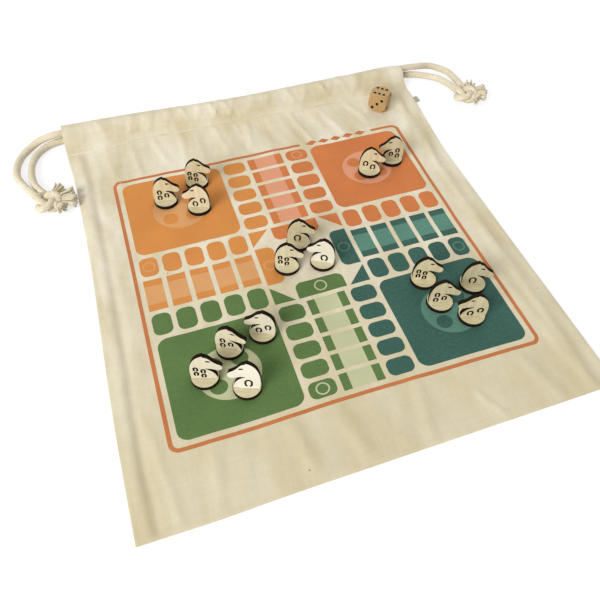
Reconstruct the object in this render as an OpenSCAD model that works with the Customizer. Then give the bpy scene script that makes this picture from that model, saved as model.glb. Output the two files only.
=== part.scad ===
// Drawstring game bag: a flat cotton bag printed with a ludo board, with two drawcords in its
// mouth hem, sixteen standing wooden horses and one die.
//
// Frame: +Z up, the bag lies on z = 0, x = 0 is its middle and +Y points to its mouth.
// The origin is on the underside, at the middle of the bag. Millimetres.

/* [Bag] */
// Width of the bag
bag_w = 300; // [280:1:360]
// Length of the bag from the bottom seam to the mouth
bag_l = 350; // [330:1:420]
// Thickness of one ply of the cotton
cloth_t = 0.5; // [0.3:0.05:1]
// Depth of the mouth hem, from the mouth to its stitch line
hem_l = 32; // [30:0.5:44]
// Width of the edges that are turned in at the sides and the bottom
turn_in = 10; // [6:0.5:16]
// How far the side label stands out of the seam
label_out = 8; // [5:0.5:14]
// Width of the side label along the seam
label_w = 7; // [6:0.5:16]
// Distance from the mouth to the near edge of the side label
label_down = 37; // [34:1:120]
// Distance from the stitch line to where the front of the hem starts to rise over the cords
front_rise = 2; // [1:0.5:5]
// The same at the back of the hem
back_rise = 6; // [4:0.5:8]

/* [Drawcords] */
// Diameter of the cord
cord_d = 5.6; // [4:0.1:6]
// Room round the cord in the hem
cord_gap = 0.25; // [0.15:0.05:0.5]
// Side clearance between the two cords in the hem
lane_gap = 0.4; // [0.3:0.05:1]
// Length of each tail that slides in the hem
tail_l = 60; // [40:1:110]
// Gap between a tail's end and the cord that stays in the hem
tail_gap = 0.3; // [0.2:0.05:1]
// Diameter of the cord where the knot squeezes it
knot_cord_d = 4.8; // [4:0.1:5.2]
// Clearance between neighbouring turns of the knot
knot_gap = 0.5; // [0.45:0.05:0.8]
// Length of a frayed end
fray_l = 8; // [5:0.5:14]
// Diameter of a frayed end where the yarns spread
fray_d = 7.6; // [5:0.1:10]
// How much wider the knot's ring is than the closest one
knot_slack = 0.35; // [0.3:0.05:1]
// Gap between the cords and the surface that they lie on
lay_gap = 0.1; // [0.05:0.05:0.5]
// Gap between a frayed end and the knot
fray_gap = 0.1; // [0.05:0.05:0.5]

/* [Board print] */
// Side of the printed square
board = 240; // [200:1:260]
// Distance from the bottom seam to the printed square
board_up = 43; // [20:1:60]
// Thickness of the ink
ink_t = 0.15; // [0.1:0.05:0.4]
// Width of the border line
border_w = 2; // [1:0.1:4]
// Corner radius of the border line
border_r = 6; // [3:0.5:14]
// Distance from the border's outer edge to the homes
inset = 6; // [4:0.5:12]
// Bare strip between neighbouring fields
strip = 3.4; // [1.5:0.1:6]
// Width of the outer lanes
lane_w = 17.4; // [12:0.1:22]
// Width of the middle lane
mid_w = 27.2; // [20:0.1:34]
// Corner radius of the homes
home_r = 7; // [2:0.5:14]
// Corner radius of the fields of the outer lanes
field_r = 4.5; // [1:0.1:6]
// Number of fields along an arm
fields = 5; // [4:1:6]
// Height of the dark band at each end of a middle field
band = 5.5; // [2:0.1:9]
// Depth of a goal field
goal_d = 13; // [8:0.1:16]
// Length of a goal field
goal_l = 34.5; // [24:0.1:38]
// Radius of the goal field's inner corners
goal_r = 5; // [1:0.1:6]
// Leg of the small triangles at the corners of the centre
corner_leg = 14.6; // [8:0.1:16]
// Diameter of the light disc in each home
disc_d = 40; // [20:1:60]
// Diameter of the four spots in that disc
spot_d = 11; // [6:0.5:14]
// Distance of those spots from the disc's middle
spot_off = 12; // [9:0.5:20]
// Diameter of the ring on each start field and goal field
ring_d = 9; // [6:0.1:11]
// Width of that ring
ring_w = 1; // [0.5:0.1:2]
// Width of a diamond in the border's ornament
diamond_w = 9; // [5:0.5:12]
// Height of a diamond
diamond_h = 5; // [3:0.5:8]
// Number of diamonds
diamonds = 5; // [1:1:6]
// Pitch of the diamonds
diamond_pitch = 11; // [9:0.5:14]
// Distance from the board's middle to the middle of the diamond row
diamond_x = 64; // [30:1:80]

/* [Horses] */
// Diameter of a base
base_d = 17.8; // [16:0.1:22]
// Thickness of a base
base_t = 3; // [2:0.1:5]
// Thickness of the board that the horses are cut from
horse_t = 3; // [2:0.1:4]
// Width of the horse's foot
foot_w = 15.8; // [13:0.1:16]
// Height of a horse above its base
horse_h = 21; // [18:0.1:30]
// Width of the tab under the foot
tab_w = 9.5; // [6:0.1:12]
// Clearance of the tab in its slot, all round
tab_gap = 0.05; // [0.02:0.01:0.2]
// Distance of the horse in front of the middle of its base
horse_off = 0.6; // [0:0.1:2]
// Depth of the burnt horseshoes and of the eye
burn = 0.25; // [0.1:0.05:0.6]
// Width of the horseshoe on a horse that has one
shoe_w = 5.2; // [4.6:0.1:5.6]
// Width of a horseshoe's line
shoe_line = 1.25; // [0.6:0.05:1.3]
// Width of the burnt eye
eye_w = 3; // [1.5:0.1:3.6]
// Height of the burnt eye
eye_h = 1.1; // [0.5:0.1:1.4]

/* [Die] */
// Side of the die
die = 16; // [12:0.5:20]
// Diameter of the ball that rounds its corners
die_ball = 22.4; // [18:0.1:30]
// Distance between the outer pips of a face
pip_pitch = 8; // [5:0.5:9]
// Diameter of a pip
pip_d = 2.7; // [1:0.1:3.2]
// Depth of a pip
pip_deep = 0.7; // [0.3:0.1:1]
// Turn of the die on the bag
die_turn = -42; // [-90:1:90]
// Distance of the die's middle from the bag's right edge
die_in = 31.5; // [25:0.5:60]
// Distance of the die's middle below the hem's stitch line
die_down = 10; // [10:0.5:30]

/* [Hidden] */
COLOURS = ["orange", "red", "teal", "green"];
eps = 0.01;
// How far a cut runs past the face that it opens
past = 1;

// Colours
CANVAS = "#ddd0ad";
CANVAS_INNER = "#d2c49f";
ROPE = "#cfc19a";
BIRCH = "#d9c594";
TERRACOTTA = "#c97b4e";
INK = ["#d58c47", "#d17b47", "#3e6a5f", "#5f8450"];
INK_TINT = ["#e0a673", "#de9580", "#5b8c7c", "#c6c998"];

// Heights of the plies, from the surface that the bag lies on
back_top = cloth_t;
turn_mid = 2 * cloth_t;
front_low = 3 * cloth_t;
front_top = 4 * cloth_t;

// The hem: two ducts, one over the other, with the cords side by side in each
mouth = bag_l / 2;
stitch = mouth - hem_l;
duct_r = cord_d / 2 + cord_gap;
fold_r = duct_r + cloth_t;
lane_right = mouth - fold_r;
lane_left = lane_right - cord_d - lane_gap;
shoulder = lane_left - 2 * cloth_t;
back_toe = stitch + back_rise;
front_toe = stitch + front_rise;
z_back = fold_r;
z_front = 3 * fold_r;

// The turn of a cord at the closed end of its lane
turn_r = (z_front - z_back) / 2;
turn_x = bag_w / 2 - turn_r - cord_d / 2 - cord_gap;

// The board's fields
board_y = -bag_l / 2 + board_up + board / 2;
home = (board - 2 * inset - 2 * lane_w - mid_w - 4 * strip) / 2;
field = (home - (fields - 1) * strip) / fields;
home_in = board / 2 - inset - home;
lane_out = home_in - strip;

// Places of the playing pieces: distance from the board's middle, turn, and 1 for a head that
// looks right or -1 for one that looks left. One row a colour, from one horseshoe to four.
PLACES = [
    [[-1.5, 9.5, -18, 1], [-62, 66.5, -20, -1], [-84.5, 81, -12, 1], [-57.5, 94.5, -12, 1]],
    [[8.5, -13.5, -29, -1], [77, 67, -19, 1], [99.5, 74.5, -14, -1], [-16.5, -9.5, -17, 1]],
    [[99.5, -64, -22, 1], [86, -88, -19, -1], [71, -71.5, -18, 1], [69, -50, -19, 1]],
    [[-68.5, -94.5, -22, -1], [-48.5, -59, -24, -1], [-71.5, -64, -29, 1], [-91, -80, -18, 1]]];

// Horseshoes on the horses with one to four of them: their middles, as shares of half the foot's
// width and of the horse's height
SHOES = [
    [[-0.15, 0.2]],
    [[-0.48, 0.31], [0.27, 0.155]],
    [[-0.44, 0.39], [-0.47, 0.145], [0.19, 0.24]],
    [[-0.6, 0.41], [-0.58, 0.2], [-0.03, 0.33], [-0.02, 0.12]]];
// Their size on a horse with one to four of them; the straight part of a horseshoe's arms and
// the opening between their ends, as shares of its width
SHOE_SIZES = [1, 0.84, 0.73, 0.66];
shoe_rise = 0.24;
shoe_mouth = 0.36;
// Middle of the eye, in the same shares
EYE = [0.4, 0.77];

// Routes of the cords outside the bag, from the bag's corner: out of the hem, down to the
// surface and round to the knot. The first two points lie on the cord's lane. A height is counted
// from that of a cord that lies on the surface.
lying = cord_d / 2 + lay_gap;
route_left_upper = [
    [0, lane_left - mouth, z_front], [-7, lane_left - mouth, z_front],
    [-19, -8.6, lying + 4.5], [-29, -12, lying + 0.9], [-36.5, -20.5, lying], [-40.5, -33, lying],
    [-40.5, -45, lying], [-36.5, -56, lying], [-32, -65, lying + 0.7], [-27.4, -74.5, lying + 2.1]];
route_left_lower = [
    [0, lane_left - mouth, z_back], [-6, lane_left - mouth, z_back], [-16, -12.6, lying + 0.1],
    [-24, -20.5, lying], [-28.5, -31, lying], [-30, -43, lying], [-29, -55, lying],
    [-26, -63.5, lying + 0.2], [-22, -71.8, lying + 1.5]];
route_right_upper = [
    [0, lane_right - mouth, z_front], [9, lane_right - mouth, z_front], [23, -2, lying + 6],
    [36, 0, lying + 3.1], [46.5, -3, lying + 0.5], [52.5, -12, lying], [53.5, -23, lying + 0.2],
    [52.8, -33, lying + 1.3], [52.2, -39.9, lying + 2.1]];
route_right_lower = [
    [0, lane_right - mouth, z_back], [10, lane_right - mouth, z_back], [22, -6.4, lying + 0.1],
    [32, -12.4, lying], [39.6, -19.4, lying], [44, -29, lying], [45, -36.6, lying + 0.6],
    [45.4, -40.2, lying + 1.1]];
left_knot_at = [-19.5, -83];
right_knot_at = [49, -51];
// Turn of each knot about its own axis, and the directions of its frayed ends
left_knot_turn = 110;
right_knot_turn = 90;
left_frays = [-50, -8, 38];
right_frays = [-34, 6, 44];
cord_sides = 10;
knot_sides = 8;
knot_steps = 54;

function unit(v) = v / norm(v);
function last(list) = len(list) - 1;

// Direction of a route at its point i
function heading(route, i) =
    i == 0 ? unit(route[1] - route[0]) :
    i == last(route) ? unit(route[i] - route[i - 1]) :
    unit(unit(route[i + 1] - route[i]) + unit(route[i] - route[i - 1]));

// Ring of points round a centre, square to a direction
function ring(centre, dir, r, sides) =
    let (side = unit(cross(dir, [0, 0, 1])), up = cross(side, dir))
    [for (k = [0:sides - 1]) let (a = 360 * (k + 0.5) / sides)
        centre + r * (cos(a) * side + sin(a) * up)];

// Triangles between ring i and ring j
function belt(i, j, sides) = [
    for (k = [0:sides - 1]) let (n = (k + 1) % sides)
        each [[i * sides + k, j * sides + k, j * sides + n],
              [i * sides + k, j * sides + n, i * sides + n]]];

// Tube along a route, with its own radius at each point and flat ends
module tube(route, radii, sides) {
    count = len(route);
    points = [for (i = [0:count - 1]) each ring(route[i], heading(route, i), radii[i], sides)];
    walls = [for (i = [0:count - 2]) each belt(i, i + 1, sides)];
    ends = concat([[for (k = [0:sides - 1]) k]],
        [[for (k = [sides - 1:-1:0]) (count - 1) * sides + k]]);
    polyhedron(points, concat(walls, ends), convexity = 6);
}

// One unbroken closed tube through a list of centres
module loop_tube(centres, headings, r, sides) {
    count = len(centres);
    points = [for (i = [0:count - 1]) each ring(centres[i], headings[i], r, sides)];
    polyhedron(points, [for (i = [0:count - 1]) each belt(i, (i + 1) % count, sides)],
        convexity = 8);
}

// ---- bag -----------------------------------------------------------------------------------

// Edges turned in along the sides and the bottom of a panel
module turned_edges(low) {
    translate([0, 0, low])
        linear_extrude(cloth_t)
            difference() {
                translate([-bag_w / 2, -bag_l / 2]) square([bag_w, stitch + bag_l / 2]);
                translate([-bag_w / 2 + turn_in, -bag_l / 2 + turn_in])
                    square([bag_w - 2 * turn_in, stitch + bag_l / 2]);
            }
}

module panel(low) {
    translate([-bag_w / 2, -bag_l / 2, low]) cube([bag_w, stitch + bag_l / 2, cloth_t]);
}

module front_panel() {
    color(CANVAS) union() {
        panel(front_low);
        turned_edges(turn_mid);
    }
}

module back_panel() {
    color(CANVAS) union() {
        panel(0);
        turned_edges(back_top);
    }
}

// Round fold of the cloth over the mouth end of a duct
module fold(z, r) {
    translate([lane_right, z]) circle(r = r, $fn = 64);
}

// The room that both cords have turned through where they go round to the other duct
module turn_notch(lane, through_fold) {
    far = through_fold ? mouth + past : lane + duct_r;
    translate([turn_x, lane - duct_r, z_back])
        cube([bag_w / 2 - turn_x + past, far - lane + duct_r, z_front - z_back]);
}

// A hem from its outline and the outline of its duct, each in Y and Z
module hem() {
    difference() {
        translate([-bag_w / 2, 0, 0])
            rotate([90, 0, 90])
                linear_extrude(bag_w)
                    difference() {
                        children(0);
                        children(1);
                    }
        turn_notch(lane_left, false);
        mirror([1, 0, 0]) turn_notch(lane_right, true);
    }
}

module back_hem() {
    top = 2 * fold_r;
    color(CANVAS) hem() {
        union() {
            polygon([[stitch, 0], [lane_right, 0], [lane_right, top], [shoulder, top],
                [back_toe, turn_mid], [stitch, turn_mid]]);
            fold(z_back, fold_r);
        }
        union() {
            polygon([[back_toe, cloth_t], [lane_right, cloth_t], [lane_right, top - cloth_t],
                [shoulder, top - cloth_t]]);
            fold(z_back, duct_r);
        }
    }
}

module front_hem() {
    low = 2 * fold_r;
    top = 4 * fold_r;
    color(CANVAS) hem() {
        union() {
            polygon([[stitch, turn_mid], [back_toe, turn_mid], [shoulder, low],
                [lane_right, low], [lane_right, top], [shoulder, top],
                [front_toe, front_top], [stitch, front_top]]);
            fold(z_front, fold_r);
        }
        union() {
            polygon([[back_toe, front_low], [shoulder, low + cloth_t],
                [lane_right, low + cloth_t], [lane_right, top - cloth_t],
                [shoulder, top - cloth_t]]);
            fold(z_front, duct_r);
        }
    }
}

// Folded tape, two plies, sewn between the turned edges
module side_label() {
    color(CANVAS_INNER)
        translate([bag_w / 2, mouth - label_down - label_w, back_top])
            cube([label_out, label_w, 2 * cloth_t]);
}

// ---- drawcords -----------------------------------------------------------------------------

// The cord that stays in the hem: along the lower duct, round at the closed end and back
module cord_held(lane) {
    start = -bag_w / 2 + tail_l + tail_gap;
    color(ROPE) union() {
        for (z = [z_back, z_front])
            translate([start, lane, z])
                rotate([0, 90, 0]) cylinder(h = turn_x - start, d = cord_d, $fn = 48);
        translate([turn_x, lane, (z_back + z_front) / 2])
            rotate([90, 0, 0])
                rotate([0, 0, -90])
                    rotate_extrude(angle = 180, $fn = 64)
                        translate([turn_r, 0]) circle(d = cord_d, $fn = 48);
    }
}

// The two tails that slide in the ducts
module cord_tails(lane) {
    color(ROPE)
        for (z = [z_back, z_front])
            translate([-bag_w / 2, lane, z])
                rotate([0, 90, 0]) cylinder(h = tail_l, d = cord_d, $fn = 48);
}

// A free strand, from a corner of the bag: side is -1 for the left and 1 for the right
module strand(side, route) {
    color(ROPE)
        translate([side * bag_w / 2, mouth, 0])
            tube(route, [for (p = route) cord_d / 2], cord_sides);
}

// Overhand knot: the cord goes twice round a ring while it passes three times through it
knot_small = (knot_cord_d + knot_gap) / 2;
knot_ring = knot_small + (knot_cord_d + knot_gap) / sqrt(3) + knot_slack;
knot_z = knot_small + knot_cord_d / 2 + lay_gap;

function knot_point(t) =
    let (r = knot_ring + knot_small * cos(3 * t))
    [r * cos(2 * t), r * sin(2 * t), knot_small * sin(3 * t)];

function knot_heading(t) = unit(knot_point(t + 0.5) - knot_point(t - 0.5));

// Least distance between the centre lines of two passes of the knot, less the cord
function knot_clearance(n) = min([
    for (i = [0:n - 1], j = [0:n - 1])
        let (apart = min(abs(i - j), n - abs(i - j)))
        if (apart > n / 6) norm(knot_point(360 * i / n) - knot_point(360 * j / n))])
    - knot_cord_d;

// How far the knot reaches from its axis in a direction that is counted from one of its lobes
function knot_reach(a) = knot_ring + knot_small * abs(cos(1.5 * a)) + knot_cord_d / 2;

// A frayed end from under a turn of the knot to where its yarns spread: distance along it as a
// share of its length, then height and radius as shares of its diameter
FRAY = [[0, 0.04, 0.28], [0.35, 0.05, 0.32], [0.7, 0, 0.45], [1, -0.07, 0.5]];
fray_sides = 8;

module frayed_end(a) {
    // The turns of the knot bulge sideways, so the end starts clear of those beside it too
    start = max([for (side = [-15, 0, 15]) knot_reach(a + side)]) + fray_gap;
    rotate([0, 0, a])
        tube([for (f = FRAY) [start + f[0] * fray_l, 0, f[1] * fray_d]],
            [for (f = FRAY) f[2] * fray_d], fray_sides);
}

module knot(side, at, turn, frays) {
    steps = [for (i = [0:knot_steps - 1]) 360 * i / knot_steps];
    color(ROPE)
        translate([side * bag_w / 2 + at[0], mouth + at[1], knot_z])
            rotate([0, 0, turn]) {
                loop_tube([for (t = steps) knot_point(t)], [for (t = steps) knot_heading(t)],
                    knot_cord_d / 2, knot_sides);
                for (a = frays) frayed_end(a - turn);
            }
}

// ---- board print ---------------------------------------------------------------------------

// Rectangle from its low corner, with round corners
module round_rect(x, y, w, h, r) {
    translate([x + r, y]) square([w - 2 * r, h]);
    translate([x, y + r]) square([w, h - 2 * r]);
    for (u = [x + r, x + w - r], v = [y + r, y + h - r])
        translate([u, v]) circle(r = r, $fn = 48);
}

module print_layer() {
    translate([0, board_y, front_top]) linear_extrude(ink_t) children();
}

module ring_2d() {
    difference() {
        circle(d = ring_d, $fn = 48);
        circle(d = ring_d - 2 * ring_w, $fn = 48);
    }
}

// Start of field i of an arm, counted inwards from the border
function field_at(i) = board / 2 - inset - i * (field + strip);

// All that one colour prints, for the home at the upper left
module fields_2d() {
    round_rect(-board / 2 + inset, home_in, home, home, home_r);
    for (i = [0:fields - 1]) {
        round_rect(-field_at(i), lane_out - lane_w, field, lane_w, field_r);
        round_rect(-lane_out, field_at(i) - field, lane_w, field, field_r);
        translate([-field_at(i), -mid_w / 2]) square([field, mid_w]);
    }
    intersection() {
        round_rect(-lane_out - goal_r, -goal_l / 2, goal_d + goal_r, goal_l, goal_r);
        translate([-lane_out, -goal_l / 2]) square([goal_d, goal_l]);
    }
    polygon([[-lane_out, lane_out], [-lane_out, lane_out - corner_leg],
        [-lane_out + corner_leg, lane_out]]);
}

// The lighter tint of that colour
module tints_2d() {
    for (i = [0:fields - 1])
        translate([-field_at(i), -mid_w / 2 + band]) square([field, mid_w - 2 * band]);
    translate([-field_at(0) + field / 2, lane_out - lane_w / 2]) ring_2d();
    translate([-lane_out + goal_d / 2, 0]) ring_2d();
    translate([-board / 2 + inset + home / 2, home_in + home / 2])
        difference() {
            circle(d = disc_d, $fn = 96);
            for (a = [45:90:315])
                rotate([0, 0, a]) translate([spot_off, 0]) circle(d = spot_d, $fn = 48);
        }
}

module print_colour(k) {
    color(INK[k])
        print_layer()
            rotate([0, 0, -90 * k])
                difference() {
                    fields_2d();
                    tints_2d();
                }
}

module print_tint(k) {
    color(INK_TINT[k])
        print_layer()
            rotate([0, 0, -90 * k]) tints_2d();
}

// Border line, open where the row of diamonds stands
module print_border() {
    row = (diamonds - 1) * diamond_pitch + diamond_w;
    color(TERRACOTTA)
        print_layer() {
            difference() {
                round_rect(-board / 2, -board / 2, board, board, border_r);
                round_rect(-board / 2 + border_w, -board / 2 + border_w,
                    board - 2 * border_w, board - 2 * border_w, border_r - border_w);
                translate([diamond_x - row / 2 - border_r, board / 2 - border_w - eps])
                    square([row + 2 * border_r, border_w + past]);
            }
            for (i = [0:diamonds - 1])
                translate([diamond_x + (i - (diamonds - 1) / 2) * diamond_pitch,
                        board / 2 - border_w / 2])
                    polygon([[-diamond_w / 2, 0], [0, -diamond_h / 2], [diamond_w / 2, 0],
                        [0, diamond_h / 2]]);
        }
}

// ---- playing pieces ------------------------------------------------------------------------

// Points of a Bezier curve with four control points, without its last point
function curve(p, n = 8) = [
    for (i = [0:n - 1]) let (t = i / n, s = 1 - t)
        s * s * s * p[0] + 3 * s * s * t * p[1] + 3 * s * t * t * p[2] + t * t * t * p[3]];

// Outline of a standing horse that looks right, with the middle of its foot at the origin, as
// shares of half the foot's width and of the horse's height: the back, the ear, the hollow
// before it, the forehead, the muzzle, the jaw, the throat and the chest
HORSE = concat(
    curve([[-1, 0], [-1.2, 0.45], [-0.93, 0.86], [-0.2, 0.97]], 10),
    curve([[-0.2, 0.97], [-0.1, 0.985], [-0.02, 1], [0.04, 1]], 2),
    curve([[0.04, 1], [0.04, 0.98], [0.06, 0.955], [0.12, 0.955]], 2),
    curve([[0.12, 0.955], [0.55, 0.935], [0.6, 0.74], [1.21, 0.63]]),
    curve([[1.21, 0.63], [1.54, 0.585], [1.52, 0.375], [1.11, 0.385]], 6),
    curve([[1.11, 0.385], [0.86, 0.395], [0.66, 0.465], [0.15, 0.455]], 6),
    curve([[0.15, 0.455], [0.11, 0.45], [0.12, 0.435], [0.16, 0.43]], 2),
    curve([[0.16, 0.43], [0.53, 0.385], [1, 0.225], [1, 0]]));

module horse_2d() {
    polygon(concat(
        [for (p = HORSE) [p[0] * foot_w / 2, p[1] * horse_h]],
        [[foot_w / 2, 0], [tab_w / 2, 0], [tab_w / 2, -base_t], [-tab_w / 2, -base_t],
         [-tab_w / 2, 0]]));
}

// Slot shape that stands upright, with its middle at the origin
module upright(r, rise) {
    for (end = [-1, 1]) translate([0, end * rise / 2]) circle(r = r, $fn = 32);
    translate([-r, -rise / 2]) square([2 * r, rise]);
}

// Horseshoe that opens downwards, with its middle at the origin
module shoe_2d(w) {
    rise = shoe_rise * w;
    inner = w / 2 - shoe_line;
    difference() {
        upright(w / 2, rise);
        upright(inner, rise);
        translate([-shoe_mouth * w / 2, -w - rise]) square([shoe_mouth * w, w + rise / 2]);
    }
}

// Places a playing piece's own frame: x along the horse, y to the back, z up from its base
module placed(p) {
    translate([p[0], board_y + p[1], front_top + ink_t]) rotate([0, 0, p[2]]) children();
}

// All that is burnt into the face of the horse that has n horseshoes
module burnt_2d(n) {
    half = [foot_w / 2, horse_h];
    for (at = SHOES[n - 1])
        translate([at[0] * half[0], at[1] * half[1]]) shoe_2d(SHOE_SIZES[n - 1] * shoe_w);
    translate([EYE[0] * half[0] - eye_w / 2, EYE[1] * half[1] - eye_h / 2])
        square([eye_w, eye_h]);
}

module horse(k, n) {
    p = PLACES[k][n - 1];
    look = p[3];
    color(BIRCH)
        placed(p)
            translate([0, -horse_off + horse_t / 2, base_t])
                rotate([90, 0, 0])
                    mirror([look < 0 ? 1 : 0, 0, 0])
                        difference() {
                            linear_extrude(horse_t) horse_2d();
                            translate([0, 0, horse_t - burn])
                                linear_extrude(burn + past) burnt_2d(n);
                        }
}

module base(k, n) {
    color(BIRCH)
        placed(PLACES[k][n - 1])
            difference() {
                cylinder(h = base_t, d = base_d, $fn = 96);
                translate([-tab_w / 2 - tab_gap, -horse_off - horse_t / 2 - tab_gap, -past])
                    cube([tab_w + 2 * tab_gap, horse_t + 2 * tab_gap, base_t + 2 * past]);
            }
}

// ---- die -----------------------------------------------------------------------------------

// Pips of each face, in steps of half the pitch
PIPS = [
    [[0, 0]],
    [[-1, 1], [1, -1]],
    [[-1, -1], [0, 0], [1, 1]],
    [[-1, -1], [-1, 1], [1, -1], [1, 1]],
    [[-1, -1], [-1, 1], [1, -1], [1, 1], [0, 0]],
    [[-1, -1], [0, -1], [1, -1], [-1, 1], [0, 1], [1, 1]]];
// Turn that brings the top face to each side: six up, three to the front, four to the back
FACES = [[3, [90, 0, 0]], [4, [-90, 0, 0]], [2, [0, 90, 0]], [5, [0, -90, 0]],
    [6, [0, 0, 0]], [1, [180, 0, 0]]];

module die_piece() {
    // A pip is the cap of a ball that is as wide as the pip where it meets the face
    pip_ball = (pip_d * pip_d / 4 + pip_deep * pip_deep) / (2 * pip_deep);
    color(BIRCH)
        translate([bag_w / 2 - die_in, stitch - die_down, front_top + die / 2])
            rotate([0, 0, die_turn])
                difference() {
                    intersection() {
                        cube(die, center = true);
                        sphere(d = die_ball, $fn = 96);
                    }
                    for (f = FACES, q = PIPS[f[0] - 1])
                        rotate(f[1])
                            translate([q[0] * pip_pitch / 2, q[1] * pip_pitch / 2,
                                    die / 2 - pip_deep + pip_ball])
                                sphere(r = pip_ball, $fn = 24);
                }
}

// ---- nodes ---------------------------------------------------------------------------------

front_panel();
back_panel();
front_hem();
back_hem();
side_label();
cord_held(lane_left);  // left_cord_held
mirror([1, 0, 0]) cord_held(lane_right);  // right_cord_held
cord_tails(lane_left);  // left_cord_tails
mirror([1, 0, 0]) cord_tails(lane_right);  // right_cord_tails
strand(-1, route_left_upper);  // left_strand_upper
strand(-1, route_left_lower);  // left_strand_lower
strand(1, route_right_upper);  // right_strand_upper
strand(1, route_right_lower);  // right_strand_lower
knot(-1, left_knot_at, left_knot_turn, left_frays);  // left_knot
knot(1, right_knot_at, right_knot_turn, right_frays);  // right_knot
print_border();
for (k = [0:3]) {
    print_colour(k);
    print_tint(k);
}
die_piece();  // die
for (k = [0:3], n = [1:4]) {
    horse(k, n);
    base(k, n);
}

echo(knot_clearance = knot_clearance(90));
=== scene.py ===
# %% [markdown]
# # A drawstring bag with a ludo board printed on it
# The object is a flat cotton bag. Its front is screen printed with a ludo board, two cotton cords
# close its mouth, and sixteen wooden horses and a die stand on it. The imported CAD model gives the
# place of every piece. This script dresses it: it lays cloth, cord, ink and wood over the frame.
# Everything is in metres, with +Y pointing to the bag's mouth and z = 0 under the bag.

# %% Load the frame
import math
import random
import bpy
import bmesh
from mathutils import Matrix, Vector, noise


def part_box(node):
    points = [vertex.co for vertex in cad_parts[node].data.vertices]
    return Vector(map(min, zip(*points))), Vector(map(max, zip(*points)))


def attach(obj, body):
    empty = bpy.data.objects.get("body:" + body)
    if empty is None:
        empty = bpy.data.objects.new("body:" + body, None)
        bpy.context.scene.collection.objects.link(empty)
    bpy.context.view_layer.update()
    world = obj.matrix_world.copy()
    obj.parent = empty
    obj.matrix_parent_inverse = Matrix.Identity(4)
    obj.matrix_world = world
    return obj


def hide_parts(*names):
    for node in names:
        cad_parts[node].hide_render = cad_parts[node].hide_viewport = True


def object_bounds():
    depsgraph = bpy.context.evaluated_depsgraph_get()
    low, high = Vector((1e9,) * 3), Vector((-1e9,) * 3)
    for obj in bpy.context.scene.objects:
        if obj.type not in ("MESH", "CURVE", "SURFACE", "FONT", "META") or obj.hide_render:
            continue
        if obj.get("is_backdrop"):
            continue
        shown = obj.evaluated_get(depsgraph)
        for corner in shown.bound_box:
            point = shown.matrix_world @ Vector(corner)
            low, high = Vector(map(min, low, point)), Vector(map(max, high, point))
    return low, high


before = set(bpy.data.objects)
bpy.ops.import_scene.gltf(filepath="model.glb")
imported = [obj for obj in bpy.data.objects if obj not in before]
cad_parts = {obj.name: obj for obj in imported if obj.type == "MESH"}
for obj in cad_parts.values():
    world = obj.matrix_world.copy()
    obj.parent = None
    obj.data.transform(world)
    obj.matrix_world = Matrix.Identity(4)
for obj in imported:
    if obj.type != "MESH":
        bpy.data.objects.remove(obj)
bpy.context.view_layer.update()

MM = 0.001

# %% [markdown]
# ## The camera
# The photograph looks down on the bag from in front of it, turned a little to the right. A camera
# matrix is easiest to read as three turns: the heading round Z, the pitch up from straight down,
# and a small roll about the line of sight.

# %% Camera
heading, pitch, roll = (math.radians(angle) for angle in (-19.35, 37.806, 1.26))
camera_at = Vector((-100.66, -290.08, 326.64)) * MM
camera_data = bpy.data.cameras.new("camera")
camera_data.sensor_width = 36
camera_data.lens = 36.66
camera = bpy.data.objects.new("camera", camera_data)
bpy.context.scene.collection.objects.link(camera)
camera.matrix_world = (
    Matrix.Translation(camera_at)
    @ Matrix.Rotation(heading, 4, "Z") @ Matrix.Rotation(pitch, 4, "X")
    @ Matrix.Rotation(roll, 4, "Z"))
bpy.context.scene.camera = camera
print("camera at", [round(v, 3) for v in camera.matrix_world.translation])

# %% [markdown]
# ## Helpers for materials
# Colours are written as sRGB hex values, as a picker shows them, and one function turns them to
# the linear values that a shader works with. A second function adds a node together with its
# settings and its links. A few short ones stand on it for the kinds of node that come back most,
# so that a material reads as a short list of what it does. Patterns are sized in mm.

# %% Colour and node helpers
def linear(hex_colour):
    """An sRGB hex colour as linear red, green, blue and alpha."""
    parts = [int(hex_colour[i:i + 2], 16) / 255 for i in (1, 3, 5)]
    return [p / 12.92 if p <= 0.04045 else ((p + 0.055) / 1.055) ** 2.4 for p in parts] + [1.0]


def add(tree, kind, inputs=None, **settings):
    """Adds a shader node; an input is a value, or the socket of another node to link."""
    made = tree.nodes.new("ShaderNode" + kind)
    for name, value in settings.items():
        setattr(made, name, value)
    for name, value in (inputs or {}).items():
        if isinstance(value, bpy.types.NodeSocket):
            tree.links.new(value, made.inputs[name])
        else:
            made.inputs[name].default_value = value
    return made


def maths(tree, operation, *values):
    return add(tree, "Math", dict(enumerate(values)), operation=operation).outputs[0]


def blend(tree, factor, first, second, kind="MIX"):
    """Mixes two colours, by the numbers of the sockets, because a Mix node's names repeat."""
    return add(tree, "Mix", {0: factor, 6: first, 7: second}, data_type="RGBA",
        blend_type=kind).outputs[2]


def remap(tree, value, low, high, to_low=0.0, to_high=1.0):
    return add(tree, "MapRange", {"Value": value, "From Min": low, "From Max": high,
        "To Min": to_low, "To Max": to_high}).outputs[0]


def clouds(tree, uv, size, detail, stretch=(1.0, 1.0), **inputs):
    """Noise with spots of a size in mm; a stretch under 1 draws them out along the map."""
    drawn = add(tree, "Mapping", {"Vector": uv, "Scale": (*stretch, 1.0)})
    return add(tree, "TexNoise", {"Vector": drawn.outputs[0], "Scale": 1 / (size * MM),
        "Detail": detail, **inputs}).outputs["Fac"]


# %% Start and finish of a material
def new_material(name, uv_map):
    """A material, its tree, and the piece's own map in metres, which its patterns follow."""
    material = bpy.data.materials.new(name)
    material.use_nodes = True
    tree = material.node_tree
    return material, tree, add(tree, "UVMap", uv_map=uv_map).outputs[0]


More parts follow.
